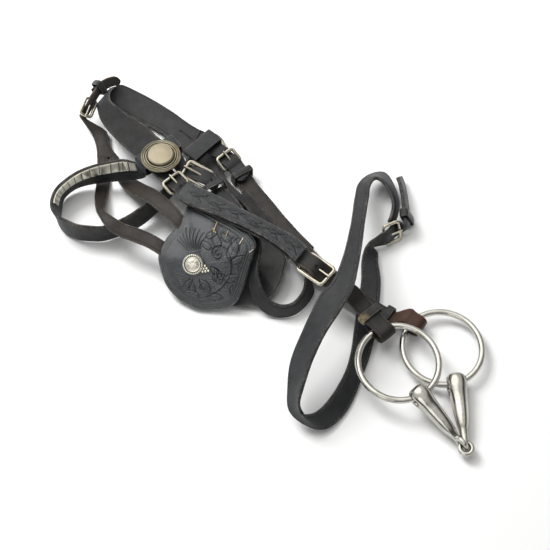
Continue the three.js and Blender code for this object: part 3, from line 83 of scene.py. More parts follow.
# blinker: outline, middle, dome direction, dome height
BLINKERS = {
    'near_blinker': {"outline": [[-67.8, 46.32, 35.2], [-56.4, 41.72, 36.6], [-43.42, 33.79, 38.2], [-30.65, 26.2, 38.6], [-20.34, 17.0, 38.0], [-14.82, 8.24, 36.0], [-16.36, 1.6, 33.5], [-18.33, -4.2, 29.5], [-20.31, -9.75, 25.0], [-22.7, -15.95, 20.0], [-26.26, -23.69, 14.5], [-30.63, -29.51, 9.5], [-38.24, -31.91, 4.6], [-48.19, -32.59, 2.4], [-60.08, -31.95, 2.0], [-67.22, -29.36, 3.0], [-77.61, -23.29, 5.0], [-85.99, -14.3, 9.0], [-90.72, -3.49, 15.0], [-92.06, 5.94, 22.5], [-86.25, 17.64, 27.5], [-77.21, 27.04, 31.8], [-72.62, 36.09, 34.4]], "middle": [-53.8, 1.55, 19.0], "normal": [-0.12, -0.623, 0.773], "height": 9.5},
    'far_blinker': {"outline": [[-36.09, 81.41, 4.2], [-30.86, 71.87, 5.2], [-19.79, 52.75, 6.2], [-8.15, 34.52, 8.0], [3.23, 19.38, 8.3], [8.03, 11.27, 9.6], [7.99, 4.11, 11.0], [6.36, -3.68, 12.0], [4.59, -11.07, 12.4], [0.79, -18.77, 11.8], [-5.05, -24.6, 7.6], [-11.05, -29.71, 4.6], [-19.74, -31.08, 3.8], [-28.43, -30.88, 3.4], [-34.76, -29.07, 4.2], [-44.29, -20.95, 7.4], [-53.16, -8.54, 11.0], [-57.44, 4.83, 13.0], [-57.05, 19.86, 14.0], [-54.39, 36.3, 13.0], [-50.94, 54.63, 11.0], [-45.78, 73.04, 8.0]], "middle": [-24.87, 14.25, 12.5], "normal": [0.08, 0.0, -0.997], "height": 6.2},
}
# disc: centre, facing
DISCS = {
    'near_concho': [[-64.01, -5.6, 28.3], [-0.071, -0.611, 0.788]],
    'far_concho': [[-24.25, 14.25, 3.12], [0.0, 0.0, -1.0]],
    'near_concho_drop': [[-53.97, -9.52, 26.65], [-0.179, -0.486, 0.856]],
    'near_rosette': [[-92.31, 85.77, 41.7], [0.0, 0.06, 1.0]],
    'far_rosette': [[-58.59, 121.62, 5.55], [0.0, 0.0, -1.0]],
}
C1 = [93.07, -83.98, 17.7]
C2 = [128.48, -67.94, 8.7]
H1 = [108.05, -110.55, 17.7]
H2 = [137.32, -97.13, 8.7]
J = [140.35, -147.7, 7.0]
JN = [140.35, -147.7, 6.05]
BUCKLE_NAMES = ['near_cheek_top', 'near_throat', 'far_cheek', 'near_cheek_bottom', 'stay', 'noseband']
KEEPERS = ['keeper_stay', 'keeper_near_throat', 'keeper_far_cheek', 'keeper_noseband', 'keeper_near_bit', 'keeper_far_bit']
NOSE_AT = [18.76, -107.29, 10.0]
NOSE_MID = [38.15, -78.77, 10.0]
NOSE_STITCH = (60, -30)
STAY_HOLE = 46.0
TAN_AT = [65.84, -51.68, 22.6]
RUSSET_AT = [112.0, -54.0, 8.0]


# ---------------------------------------------------------------- mesh tools
def A3(v):
    return np.asarray(v, float)


def unit(v):
    v = np.asarray(v, float)
    return v / np.maximum(np.linalg.norm(v, axis=-1, keepdims=True), 1e-12)


class Shape:
    """Vertices in millimetres of the design frame, faces, and per-vertex attributes."""

    def __init__(self):
        self.v, self.f, self.a, self.n = [], [], {}, 0

    def add(self, v, faces, **attrs):
        v = np.asarray(v, float)
        for f in faces:
            if len(f):
                self.f.append(np.asarray(f, int) + self.n)
        self.v.append(v)
        for k in set(self.a) | set(attrs):
            have = self.a.setdefault(k, [np.zeros(self.n)] if self.n else [])
            x = attrs.get(k, 0.0)
            have.append(np.broadcast_to(np.asarray(x, float), (len(v),)).copy())
        self.n += len(v)
        return self


PIECES = {}


def make(name, shape, material, body, nodes=(), flat=False, recalc=True):
    v = (np.vstack(shape.v) + SHIFT) * 0.001
    mesh = bpy.data.meshes.new(name)
    mesh.vertices.add(len(v))
    mesh.vertices.foreach_set("co", v.astype(np.float32).ravel())
    counts = np.concatenate([np.full(len(f), f.shape[1]) for f in shape.f])
    loops = np.concatenate([f.ravel() for f in shape.f])
    starts = np.concatenate([[0], np.cumsum(counts)[:-1]])
    mesh.loops.add(len(loops))
    mesh.loops.foreach_set("vertex_index", loops.astype(np.int32))
    mesh.polygons.add(len(counts))
    mesh.polygons.foreach_set("loop_start", starts.astype(np.int32))
    mesh.polygons.foreach_set("loop_total", counts.astype(np.int32))
    mesh.polygons.foreach_set("use_smooth", np.full(len(counts), not flat))
    for k, vals in shape.a.items():
        at = mesh.attributes.new(k, "FLOAT", "POINT")
        at.data.foreach_set("value", np.concatenate(vals).astype(np.float32))
    mesh.update(calc_edges=True)
    mesh.validate()
    if recalc:
        import bmesh

        bm = bmesh.new()
        bm.from_mesh(mesh)
        bmesh.ops.recalc_face_normals(bm, faces=bm.faces)
        bm.to_mesh(mesh)
        bm.free()
    o = bpy.data.objects.new(name, mesh)
    bpy.context.scene.collection.objects.link(o)
    mesh.materials.append(material)
    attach(o, body)
    if nodes:
        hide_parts(*nodes)
    PIECES[name] = o
    return o


def grid_faces(rows, cols, close_rows=False, close_cols=True):
    i = np.arange(rows if close_rows else rows - 1)
    j = np.arange(cols if close_cols else cols - 1)
    I, J = np.meshgrid(i, j, indexing="ij")
    a = I * cols + J
    b = I * cols + (J + 1) % cols
    c = ((I + 1) % rows) * cols + (J + 1) % cols
    d = ((I + 1) % rows) * cols + J
    return np.stack([a, b, c, d], -1).reshape(-1, 4)


def cap_faces(base, cols, flip):
    """A fan that closes a flattened loop: quads across it from one side to the other."""
    half = cols // 2
    out = []
    for k in range(half):
        a, b = k, (k + 1) % cols
        c, d = cols - 2 - k, cols - 1 - k
        if len({a, b, c % cols, d % cols}) == 4:
            out.append([a, b, c, d])
    t = []
    return np.array(out, int).reshape(-1, 4) + base


def dens(st, n=24):
    S = np.asarray(st, float)
    out = []
    for i in range(len(S) - 1):
        p1, p2 = S[i], S[i + 1]
        p0 = S[i - 1] if i else 2 * p1 - p2
        p3 = S[i + 2] if i + 2 < len(S) else 2 * p2 - p1
        for q in range(n):
            t = q / n
            out.append(0.5 * (2 * p1 + (p2 - p0) * t + (2 * p0 - 5 * p1 + 4 * p2 - p3) * t * t + (3 * p1 - p0 - 3 * p2 + p3) * t**3))
    out.append(S[-1])
    return np.array(out)


def by_length(S, ds, ends=(0.0, 0.0)):
    c = (S[:, :3] + S[:, 3:]) / 2
    L = np.concatenate([[0], np.cumsum(np.linalg.norm(np.diff(c, axis=0), axis=1))])
    a, b = ends[0], L[-1] - ends[1]
    n = max(4, int(round((b - a) / ds)))
    s = np.linspace(a, b, n + 1)
    return np.stack([np.interp(s, L, S[:, k]) for k in range(6)], 1), s


def smooth_rows(X, k=2):
    for _ in range(k):
        Y = X.copy()
        Y[1:-1] = 0.25 * X[:-2] + 0.5 * X[1:-1] + 0.25 * X[2:]
        X = Y
    return X


def frames_of(S):
    a, b = S[:, :3], S[:, 3:]
    c = (a + b) / 2
    t = np.zeros_like(c)
    t[1:-1] = c[2:] - c[:-2]
    t[0], t[-1] = c[1] - c[0], c[-1] - c[-2]
    t = unit(t)
    w = unit(b - a)
    n = unit(np.cross(t, w))
    return c, t, w, n, np.linalg.norm(b - a, axis=1) / 2


def lump(x, seed, scale):
    """Smooth one-dimensional noise, mean 0."""
    r = np.random.RandomState(seed)
    out = np.zeros_like(x)
    for k in range(1, 5):
        out += np.sin(x / scale * k * (0.8 + 0.4 * r.rand()) + r.rand() * 6.28) / k
    return out / 2


def ribbon(shape, st, t, ds=0.9, ends=(0, 0), inner=18, crease=0.30, crease_d=1.9, crown=0.25, relief=None, holes=(), tip=(0, 0),
           seed=1, flesh_crown=0.0, edge=0.8, waver=0.12, closed=False, channel=None, square=0.0):
    """A strap with rolled edges, a crease line along each edge, and end caps. Returns its frames for stitching."""
    S, s = by_length(dens(st), ds, ends)
    S = smooth_rows(S, 2)
    c, tt, w, n, hw = frames_of(S)
    total = s[-1]
    hw = hw.copy()
    for end, length in ((0, tip[0]), (1, tip[1])):
        if length > 0:
            d = s if end == 0 else total - s
            hw *= np.sqrt(np.clip(1 - (1 - np.clip(d / length, 0.02, 1)) ** 2, 0.04, 1))
    hwl = hw + waver * lump(s, seed, 9.0)
    hwr = hw + waver * lump(s, seed + 50, 11.0)
    r = min(t / 2, edge)
    ang = np.linspace(math.pi, math.pi / 2, 5)
    dd = np.array([1.0, 1.3, 1.6, 1.9, 2.2, 2.5, 2.9]) - 1.9 + crease_d
    # section as (side, distance from edge or fraction, height kind)
    left = [(-1, r + r * math.cos(a), r * math.sin(a)) for a in ang]
    rows = len(s)
    cols = []

    def column(y, z, wear, top):
        cols.append((y, z, np.broadcast_to(wear, (rows,)), top))

    def surface(y, top):
        hwm = (hwl + hwr) / 2
        q = np.clip(np.abs(y) / hwm, 0, 1)
        z = np.full(rows, t / 2) + (crown if top else flesh_crown) * (1 - q**2)
        return z

    for a in ang:
        column(-hwl + r + r * math.cos(a), t / 2 - r + r * math.sin(a) + np.zeros(rows), 1.0 - 0.15 * abs(math.sin(a)), 1)
    narrow = np.minimum(1.0, np.minimum(hwl, hwr) / 3.4)
    for d in dd:
        y = -hwl + d * narrow
        g = -crease * np.exp(-(((d - crease_d) / 0.38) ** 2))
        column(y, surface(y, True) + g, max(0.0, math.exp(-d / 0.8)), 1)
    for k in range(1, inner):
        y = (-hwl + dd[-1] * narrow) * (1 - k / inner) + (hwr - dd[-1] * narrow) * (k / inner)
        column(y, surface(y, True), 0.0, 1)
    for d in dd[::-1]:
        y = hwr - d * narrow
        g = -crease * np.exp(-(((d - crease_d) / 0.38) ** 2))
        column(y, surface(y, True) + g, max(0.0, math.exp(-d / 0.8)), 1)
    for a in ang[::-1]:
        column(hwr - r - r * math.cos(a), t / 2 - r + r * math.sin(a) + np.zeros(rows), 1.0 - 0.15 * abs(math.sin(a)), 1)
    for a in ang:
        column(hwr - r - r * math.cos(a), -(t / 2 - r + r * math.sin(a)) + np.zeros(rows), 1.0 - 0.15 * abs(math.sin(a)), -1)
    low = max(6, inner // 2)
    for k in range(1, low):
        y = (hwr - 1.4 * narrow) * (1 - k / low) + (-hwl + 1.4 * narrow) * (k / low)
        column(y, -surface(y, False), 0.0, -1)
    for a in ang[::-1]:
        column(-hwl + r + r * math.cos(a), -(t / 2 - r + r * math.sin(a)) + np.zeros(rows), 1.0 - 0.15 * abs(math.sin(a)), -1)
    Y = np.stack([q[0] for q in cols], 1)
    Z = np.stack([q[1] for q in cols], 1)
    WEAR = np.stack([q[2] for q in cols], 1).copy()
    TOP = np.array([q[3] for q in cols])[None, :] * np.ones((rows, 1))
    CARVE = np.zeros_like(Y)
    m = Y.shape[1]
    ss = s[:, None] * np.ones((1, m))
    top = TOP > 0
    flat_top = top & (WEAR < 0.3)
    dedge = np.minimum(Y + hwl[:, None], hwr[:, None] - Y)
    # carve mask for painted shade: the crease lines, the relief cuts and the punched holes
    if crease:
        CARVE += np.where(top, np.exp(-(((dedge - crease_d) / 0.4) ** 2)), 0) * 0.8
    if relief is not None:
        h, cv = relief(ss, Y, hw[:, None])
        Z = Z + np.where(flat_top, h, 0)
        CARVE = CARVE + np.where(flat_top, cv, 0)
    for hs, hy, hr in holes:
        d = np.hypot((ss - (hs if hs >= 0 else total + hs)), Y - hy)
        Z = Z - np.where(flat_top, 0.85 * np.clip((hr - d) / 0.5, 0, 1), 0)
        Z = Z + np.where(flat_top, 0.12 * np.exp(-(((d - hr - 0.4) / 0.4) ** 2)), 0)
        # painted shade inside each punched hole
        CARVE = CARVE + np.where(flat_top & (d < hr + 0.1), 2.2, 0)
    # place the section along the strap's frames
    P = c[:, None, :] + w[:, None, :] * Y[..., None] + n[:, None, :] * Z[..., None]
    first = shape.n
    if not closed:
        # rolled ends: three more rows that close in
        extra0, extra1 = [], []
        for k, ph in enumerate((60, 25, 0)):
            f = math.sin(math.radians(ph))
            push = r * math.cos(math.radians(ph))
            for lst, i0, sign in ((extra0, 0, -1), (extra1, -1, 1)):
                y = Y[i0].copy()
                yy = np.clip(y, -hwl[i0] + r * (1 - f), hwr[i0] - r * (1 - f))
                zz = Z[i0] * (t / 2 - r + r * f) / (t / 2) if t / 2 > r * 1.01 or f > 0.3 else Z[i0] * max(f, 0.12)
                lst.append(c[i0] + tt[i0] * sign * (push - r) + w[i0] * yy[:, None] + n[i0] * zz[:, None])
        P = np.concatenate([np.array(extra0[::-1]), P, np.array(extra1)])
        pad = lambda X: np.concatenate([np.repeat(X[:1], 3, 0), X, np.repeat(X[-1:], 3, 0)])
        WEAR, TOP, CARVE = pad(WEAR), pad(TOP), pad(CARVE)
        for k in (0, 1, 2, -1, -2, -3):
            WEAR[k] = np.maximum(WEAR[k], 0.85)
            CARVE[k] = 0
    R = P.shape[0]
    faces = [grid_faces(R, m, closed, True)]
    if not closed:
        faces += [cap_faces(0, m, False), cap_faces((R - 1) * m, m, True)]
    shape.add(P.reshape(-1, 3), faces, wear=WEAR.ravel(), carve=CARVE.ravel(), side=TOP.ravel())
    return dict(c=c, t=tt, w=w, n=n, hl=hwl, hr=hwr, s=s, th=t, crown=crown)


def path_on(fr, inset, right, s0=None, s1=None, lift=0.0):
    """Points and directions along a strap, a set distance in from one edge, on its top face."""
    sl = slice(None)
    y = (fr["hr"] - inset) if right else (-fr["hl"] + inset)
    P = fr["c"] + fr["w"] * y[:, None] + fr["n"] * (fr["th"] / 2 + lift)
    keep = np.ones(len(P), bool)
    if s0 is not None:
        keep &= fr["s"] >= s0
    if s1 is not None:
        keep &= fr["s"] <= (s1 if s1 > 0 else fr["s"][-1] + s1)
    return P[keep], fr["n"][keep]


def stitches(shape, P, N, pitch=2.9, length=2.05, rad=0.27, slant=10, rise=0.20):
    """Thread stitches along a path: short arched tubes that dip into the leather at both ends."""
    L = np.concatenate([[0], np.cumsum(np.linalg.norm(np.diff(P, axis=0), axis=1))])
    if L[-1] < pitch:
        return
    k = int(L[-1] // pitch)
    sc = (np.arange(k) + 0.5) * L[-1] / k
    at = np.stack([np.interp(sc, L, P[:, i]) for i in range(3)], 1)
    ah = np.stack([np.interp(sc + 0.4, L, P[:, i]) for i in range(3)], 1)
    bh = np.stack([np.interp(sc - 0.4, L, P[:, i]) for i in range(3)], 1)
    nn = unit(np.stack([np.interp(sc, L, N[:, i]) for i in range(3)], 1))
    tt = unit(ah - bh)
    bb = unit(np.cross(nn, tt))
    sl = math.radians(slant) * (1 + 0.35 * RNG.randn(k))[:, None]
    tt, bb = tt * np.cos(sl) + bb * np.sin(sl), bb * np.cos(sl) - tt * np.sin(sl)
    U = np.linspace(0, 1, 6)
    G = np.linspace(0, 2 * math.pi, 6, endpoint=False)
    cen = at[:, None] + tt[:, None] * ((U - 0.5) * length)[None, :, None] + nn[:, None] * (rise * np.sin(math.pi * U) - 0.12)[None, :, None]
    rr = rad * (0.35 + 0.65 * np.sin(math.pi * (0.12 + 0.76 * U)))
    ring = cen[:, :, None] + (bb[:, None, None] * np.cos(G)[None, None, :, None] + nn[:, None, None] * np.sin(G)[None, None, :, None]) * rr[None, :, None, None]
    base = grid_faces(6, 6, False, True)
    caps = np.array([[3, 2, 1, 0], [5, 4, 3, 0], [30, 31, 32, 33], [30, 33, 34, 35]])
    one = np.vstack([base, caps])
    F = (one[None] + (np.arange(k) * 36)[:, None, None]).reshape(-1, 4)
    shade = np.repeat(RNG.rand(k), 36)
    shape.add(ring.reshape(-1, 3), [F], shade=shade)


def balls(shape, C, r, Z=None, squash=1.0, n1=10, n2=6):
    C = np.asarray(C, float)
    k = len(C)
    th = np.linspace(0, 2 * math.pi, n1, endpoint=False)
    ph = np.linspace(0, math.pi, n2 + 1)[1:-1]
    unitv = np.stack([np.outer(np.sin(ph), np.cos(th)), np.outer(np.sin(ph), np.sin(th)), np.outer(np.cos(ph), np.ones(n1))], -1).reshape(-1, 3)
    unitv = np.vstack([unitv, [[0, 0, 1], [0, 0, -1]]])
    if Z is not None:
        z = unit(A3(Z))
        x = unit(np.cross([0.3, 1, 0.2], z))
        y = np.cross(z, x)
        unitv = unitv[:, :1] * x + unitv[:, 1:2] * y + unitv[:, 2:] * z * squash
    rr = np.broadcast_to(np.asarray(r, float), (k,))
    V = (C[:, None] + unitv[None] * rr[:, None, None]).reshape(-1, 3)
    rows = n2 - 1
    q = grid_faces(rows, n1, False, True)
    top, bot = rows * n1, rows * n1 + 1
    tr = np.array([[top, j, (j + 1) % n1] for j in range(n1)] + [[bot, (rows - 1) * n1 + (j + 1) % n1, (rows - 1) * n1 + j] for j in range(n1)])
    per = rows * n1 + 2
    off = (np.arange(k) * per)[:, None, None]
    shape.add(V, [(q[None] + off).reshape(-1, 4), (tr[None] + off).reshape(-1, 3)])


def basis(z, hint=(1, 0, 0)):
    z = unit(A3(z))
    x = unit(A3(hint) - z * (A3(hint) @ z))
    return x, np.cross(z, x), z


def lathe(shape, prof, o, z, seg=96, hint=(1, 0, 0), wobble=None, **attrs):
    """A turned solid from [radius, height] pairs; the first and last radii are 0."""
    x, y, zz = basis(z, hint)
    prof = np.asarray(prof, float)
    g = np.linspace(0, 2 * math.pi, seg, endpoint=False)
    body = prof[(prof[:, 0] > 1e-6)]
    h = body[:, 1][:, None] + (wobble(body[:, 0][:, None], g[None]) if wobble else 0) * np.ones((1, seg))
    V = A3(o) + (x * np.cos(g)[:, None] + y * np.sin(g)[:, None])[None] * body[:, 0][:, None, None] + zz * h[..., None]
    V = V.reshape(-1, 3)
    rows = len(body)
    F = [grid_faces(rows, seg, False, True)]
    a, b = A3(o) + zz * prof[0, 1], A3(o) + zz * prof[-1, 1]
    if wobble:
        b = A3(o) + zz * h[-1].mean()
    V = np.vstack([V, a, b])
    na, nb = rows * seg, rows * seg + 1
    j = np.arange(seg)
    F.append(np.stack([np.full(seg, na), (j + 1) % seg, j], 1))
    F.append(np.stack([np.full(seg, nb), (rows - 1) * seg + j, (rows - 1) * seg + (j + 1) % seg], 1))
    shape.add(V, F, **attrs)


def rounded(prof, r=0.35, steps=3):
    """Rounds the corners of a [radius, height] profile."""
    P = np.asarray(prof, float)
    out = [P[0]]
    for i in range(1, len(P) - 1):
        a, b, c = P[i - 1], P[i], P[i + 1]
        la, lc = np.linalg.norm(a - b), np.linalg.norm(c - b)
        d = min(r, la * 0.45, lc * 0.45)
        p, q = b + (a - b) / la * d, b + (c - b) / lc * d
        for k in range(steps + 1):
            u = k / steps
            out.append((1 - u) ** 2 * p + 2 * u * (1 - u) * b + u * u * q)
    out.append(P[-1])
    return np.array(out)


def tube(shape, P, rad, sides=14, closed=False, flat=1.0, up=None, **attrs):
    """A round bar through points, with rounded ends when it is open."""
    P = np.asarray(P, float)
    n = len(P)
    rad = np.broadcast_to(np.asarray(rad, float), (n,)).copy()
    if closed:
        T = unit(np.roll(P, -1, 0) - np.roll(P, 1, 0))
    else:
        T = np.zeros_like(P)
        T[1:-1] = P[2:] - P[:-2]
        T[0], T[-1] = P[1] - P[0], P[-1] - P[-2]
        T = unit(T)
    ref = A3(up) if up is not None else (A3([0, 0, 1]) if abs(T[0][2]) < 0.9 else A3([1, 0, 0]))
    U = []
    for i in range(n):
        u = ref - T[i] * (ref @ T[i])
        u = u / np.linalg.norm(u)
        U.append(u)
        if up is None:
            ref = u
    U = np.array(U)
    Vv = np.cross(T, U)
    if not closed:
        e0 = [(P[0] - T[0] * rad[0] * math.sin(a), rad[0] * math.cos(a), U[0], Vv[0]) for a in (1.45, 1.1, 0.6)]
        e1 = [(P[-1] + T[-1] * rad[-1] * math.sin(a), rad[-1] * math.cos(a), U[-1], Vv[-1]) for a in (0.6, 1.1, 1.45)]
        P = np.vstack([[q[0] for q in e0], P, [q[0] for q in e1]])
        rad = np.concatenate([[q[1] for q in e0], rad, [q[1] for q in e1]])
        U = np.vstack([[q[2] for q in e0], U, [q[2] for q in e1]])
        Vv = np.vstack([[q[3] for q in e0], Vv, [q[3] for q in e1]])
    g = np.linspace(0, 2 * math.pi, sides, endpoint=False)
    R = P[:, None] + (U[:, None] * np.cos(g)[None, :, None] * flat + Vv[:, None] * np.sin(g)[None, :, None]) * rad[:, None, None]
    rows = len(P)
    V = R.reshape(-1, 3)
    F = [grid_faces(rows, sides, closed, True)]
    if not closed:
        V = np.vstack([V, P[:1], P[-1:]])
        j = np.arange(sides)
        F.append(np.stack([np.full(sides, rows * sides), (j + 1) % sides, j], 1))
        F.append(np.stack([np.full(sides, rows * sides + 1), (rows - 1) * sides + j, (rows - 1) * sides + (j + 1) % sides], 1))
    shape.add(V, F, **attrs)


def local(f, p):
    p = np.asarray(p, float)
    return A3(f[0]) + p[..., :1] * A3(f[1]) + p[..., 1:2] * A3(f[2]) + p[..., 2:] * A3(f[3])


# ---------------------------------------------------------------- tooling
def seg_distance(X, Y, pts):
    d = np.full(X.shape, 1e9)
    pts = np.asarray(pts, float)
    for (x0, y0), (x1, y1) in zip(pts[:-1], pts[1:]):
        ux, uy = x1 - x0, y1 - y0
        L = max(ux * ux + uy * uy, 1e-9)
        t = np.clip(((X - x0) * ux + (Y - y0) * uy) / L, 0, 1)
        d = np.minimum(d, np.hypot(X - x0 - t * ux, Y - y0 - t * uy))
    return d


def bez(p, n=16):
    p = np.asarray(p, float)
    t = np.linspace(0, 1, n)[:, None]
    if len(p) == 3:
        return (1 - t) ** 2 * p[0] + 2 * t * (1 - t) * p[1] + t * t * p[2]
    return (1 - t) ** 3 * p[0] + 3 * t * (1 - t) ** 2 * p[1] + 3 * t * t * (1 - t) * p[2] + t**3 * p[3]


def cut(H, C, X, Y, pts, depth=0.4, width=0.42):
    # H cuts the surface; C marks the cut for painted shade
    d = seg_distance(X, Y, pts)
    g = np.exp(-((d / width) ** 2))
    H -= depth * g
    H += 0.35 * depth * np.exp(-(((d - 2.0 * width) / (0.9 * width)) ** 2))
    C += g


def leaf(H, C, X, Y, x0, y0, ang, L, Wd, bend=0.0, veins=3, depth=0.4, puff=0.5):
    ca, sa = math.cos(ang), math.sin(ang)
    u = ((X - x0) * ca + (Y - y0) * sa) / L
    v = -(X - x0) * sa + (Y - y0) * ca
    v = v - bend * L * u * (1 - u)
    uu = np.clip(u, 0, 1)
    half = Wd / 2 * np.sin(math.pi * uu**0.75) ** 0.8
    inside = (u > 0) & (u < 1) & (np.abs(v) < half)
    rim = np.exp(-(((np.abs(v) - half) / 0.40) ** 2)) * ((u > -0.01) & (u < 1.01))
    q = np.clip(np.abs(v) / np.maximum(half, 1e-3), 0, 1)
    H += np.where(inside, puff * (1 - q**2) * np.sin(math.pi * uu) ** 0.5, 0)
    # C marks the leaf's outline, midrib and veins for painted shade
    H -= depth * rim
    C += rim
    mid = np.exp(-((v / 0.32) ** 2)) * ((u > 0.04) & (u < 0.86))
    H -= 0.7 * depth * mid
    C += 0.8 * mid
    for k in range(veins):
        uc = 0.22 + 0.6 * k / max(veins, 1)
        for sg in (-1, 1):
            line = (u - uc) * L - 0.75 * sg * v
            ok = inside & (sg * v > 0.2) & (np.abs(line) < 1.5)
            g = np.where(ok, np.exp(-((line / 0.30) ** 2)) * (1 - q), 0)
            H -= 0.6 * depth * g
            C += 0.7 * g


def scroll(x0, y0, r, turns=1.35, start=0.0, way=1, n=40):
    a = np.linspace(0, turns * 2 * math.pi, n)
    rr = r * (1 - a / a[-1] * 0.82)
    return np.stack([x0 + rr * np.cos(start + way * a), y0 + rr * np.sin(start + way * a)], 1)


# ---------------------------------------------------------------- materials
def lin(r, g, b):
    f = lambda c: (c / 255 / 12.92) if c <= 10 else ((c / 255 + 0.055) / 1.055) ** 2.4
    return (f(r), f(g), f(b), 1.0)


class Nodes:
    def __init__(self, name):
        self.m = bpy.data.materials.new(name)
        self.m.use_nodes = True
        self.t = self.m.node_tree
        self.t.nodes.clear()
        self.out = self.t.nodes.new("ShaderNodeOutputMaterial")
        self.p = self.t.nodes.new("ShaderNodeBsdfPrincipled")
        self.t.links.new(self.p.outputs[0], self.out.inputs[0])
        self.tc = self.t.nodes.new("ShaderNodeTexCoord")

    def link(self, a, b):
        self.t.links.new(a, b)
        return a

    def noise(self, scale, detail=4, rough=0.55, dist=0.0, offset=0.0, stretch=None):
        src = self.tc.outputs["Object"]
        mp = self.t.nodes.new("ShaderNodeMapping")
        mp.inputs["Location"].default_value = (offset, offset * 0.7, offset * 0.3)
        if stretch:
            mp.inputs["Scale"].default_value = stretch
        self.link(src, mp.inputs["Vector"])
        n = self.t.nodes.new("ShaderNodeTexNoise")
        n.inputs["Scale"].default_value = scale
        n.inputs["Detail"].default_value = detail
        n.inputs["Roughness"].default_value = rough
        n.inputs["Distortion"].default_value = dist
        self.link(mp.outputs[0], n.inputs["Vector"])
        return n.outputs["Fac"]

    def voronoi(self, scale, feature="F1", rand=1.0):
        n = self.t.nodes.new("ShaderNodeTexVoronoi")
        n.feature = feature
        n.inputs["Scale"].default_value = scale
        n.inputs["Randomness"].default_value = rand
        self.link(self.tc.outputs["Object"], n.inputs["Vector"])
        return n.outputs["Distance"]

    def attr(self, name):
        n = self.t.nodes.new("ShaderNodeAttribute")
        n.attribute_name = name
        return n.outputs["Fac"]

    def ramp(self, fac, stops):
        n = self.t.nodes.new("ShaderNodeValToRGB")
        cr = n.color_ramp
        while len(cr.elements) < len(stops):
            cr.elements.new(0.5)
        for e, (pos, col) in zip(cr.elements, stops):
            e.position = pos
            e.color = col if len(col) == 4 else (*col, 1)
        self.link(fac, n.inputs[0])
        return n.outputs[0]

    def maprange(self, v, a, b, c, d):
        n = self.t.nodes.new("ShaderNodeMapRange")
        n.clamp = True
        for i, x in zip(("From Min", "From Max", "To Min", "To Max"), (a, b, c, d)):
            n.inputs[i].default_value = x
        self.link(v, n.inputs["Value"])
        return n.outputs["Result"]

    def math(self, op, a, b=None):
        n = self.t.nodes.new("ShaderNodeMath")
        n.operation = op
        for i, x in enumerate((a, b)):
            if x is None:
                continue
            if isinstance(x, (int, float)):
                n.inputs[i].default_value = x
            else:
                self.link(x, n.inputs[i])
        return n.outputs[0]

    def mix(self, fac, a, b, blend="MIX"):
        n = self.t.nodes.new("ShaderNodeMix")
        n.data_type = "RGBA"
        n.blend_type = blend
        for s, x in ((n.inputs["Factor"], fac), (n.inputs["A"], a), (n.inputs["B"], b)):
            pass
        ins = [i for i in n.inputs if i.name == "Factor" and i.type == "VALUE"][0]
        ia = [i for i in n.inputs if i.name == "A" and i.type == "RGBA"][0]
        ib = [i for i in n.inputs if i.name == "B" and i.type == "RGBA"][0]
        for sck, x in ((ins, fac), (ia, a), (ib, b)):
            if isinstance(x, (int, float, tuple)):
                sck.default_value = x
            else:
                self.link(x, sck)
        return [o for o in n.outputs if o.type == "RGBA"][0]

    def bump(self, height, strength, distance, normal=None):
        n = self.t.nodes.new("ShaderNodeBump")
        n.inputs["Strength"].default_value = strength
        n.inputs["Distance"].default_value = distance
        self.link(height, n.inputs["Height"])
        if normal is not None:
            self.link(normal, n.inputs["Normal"])
        return n.outputs[0]

    def set(self, **kw):
        for k, v in kw.items():
            sck = self.p.inputs[k.replace("_", " ")]
            if isinstance(v, (int, float, tuple)):
                sck.default_value = v
            else:
                self.link(v, sck)


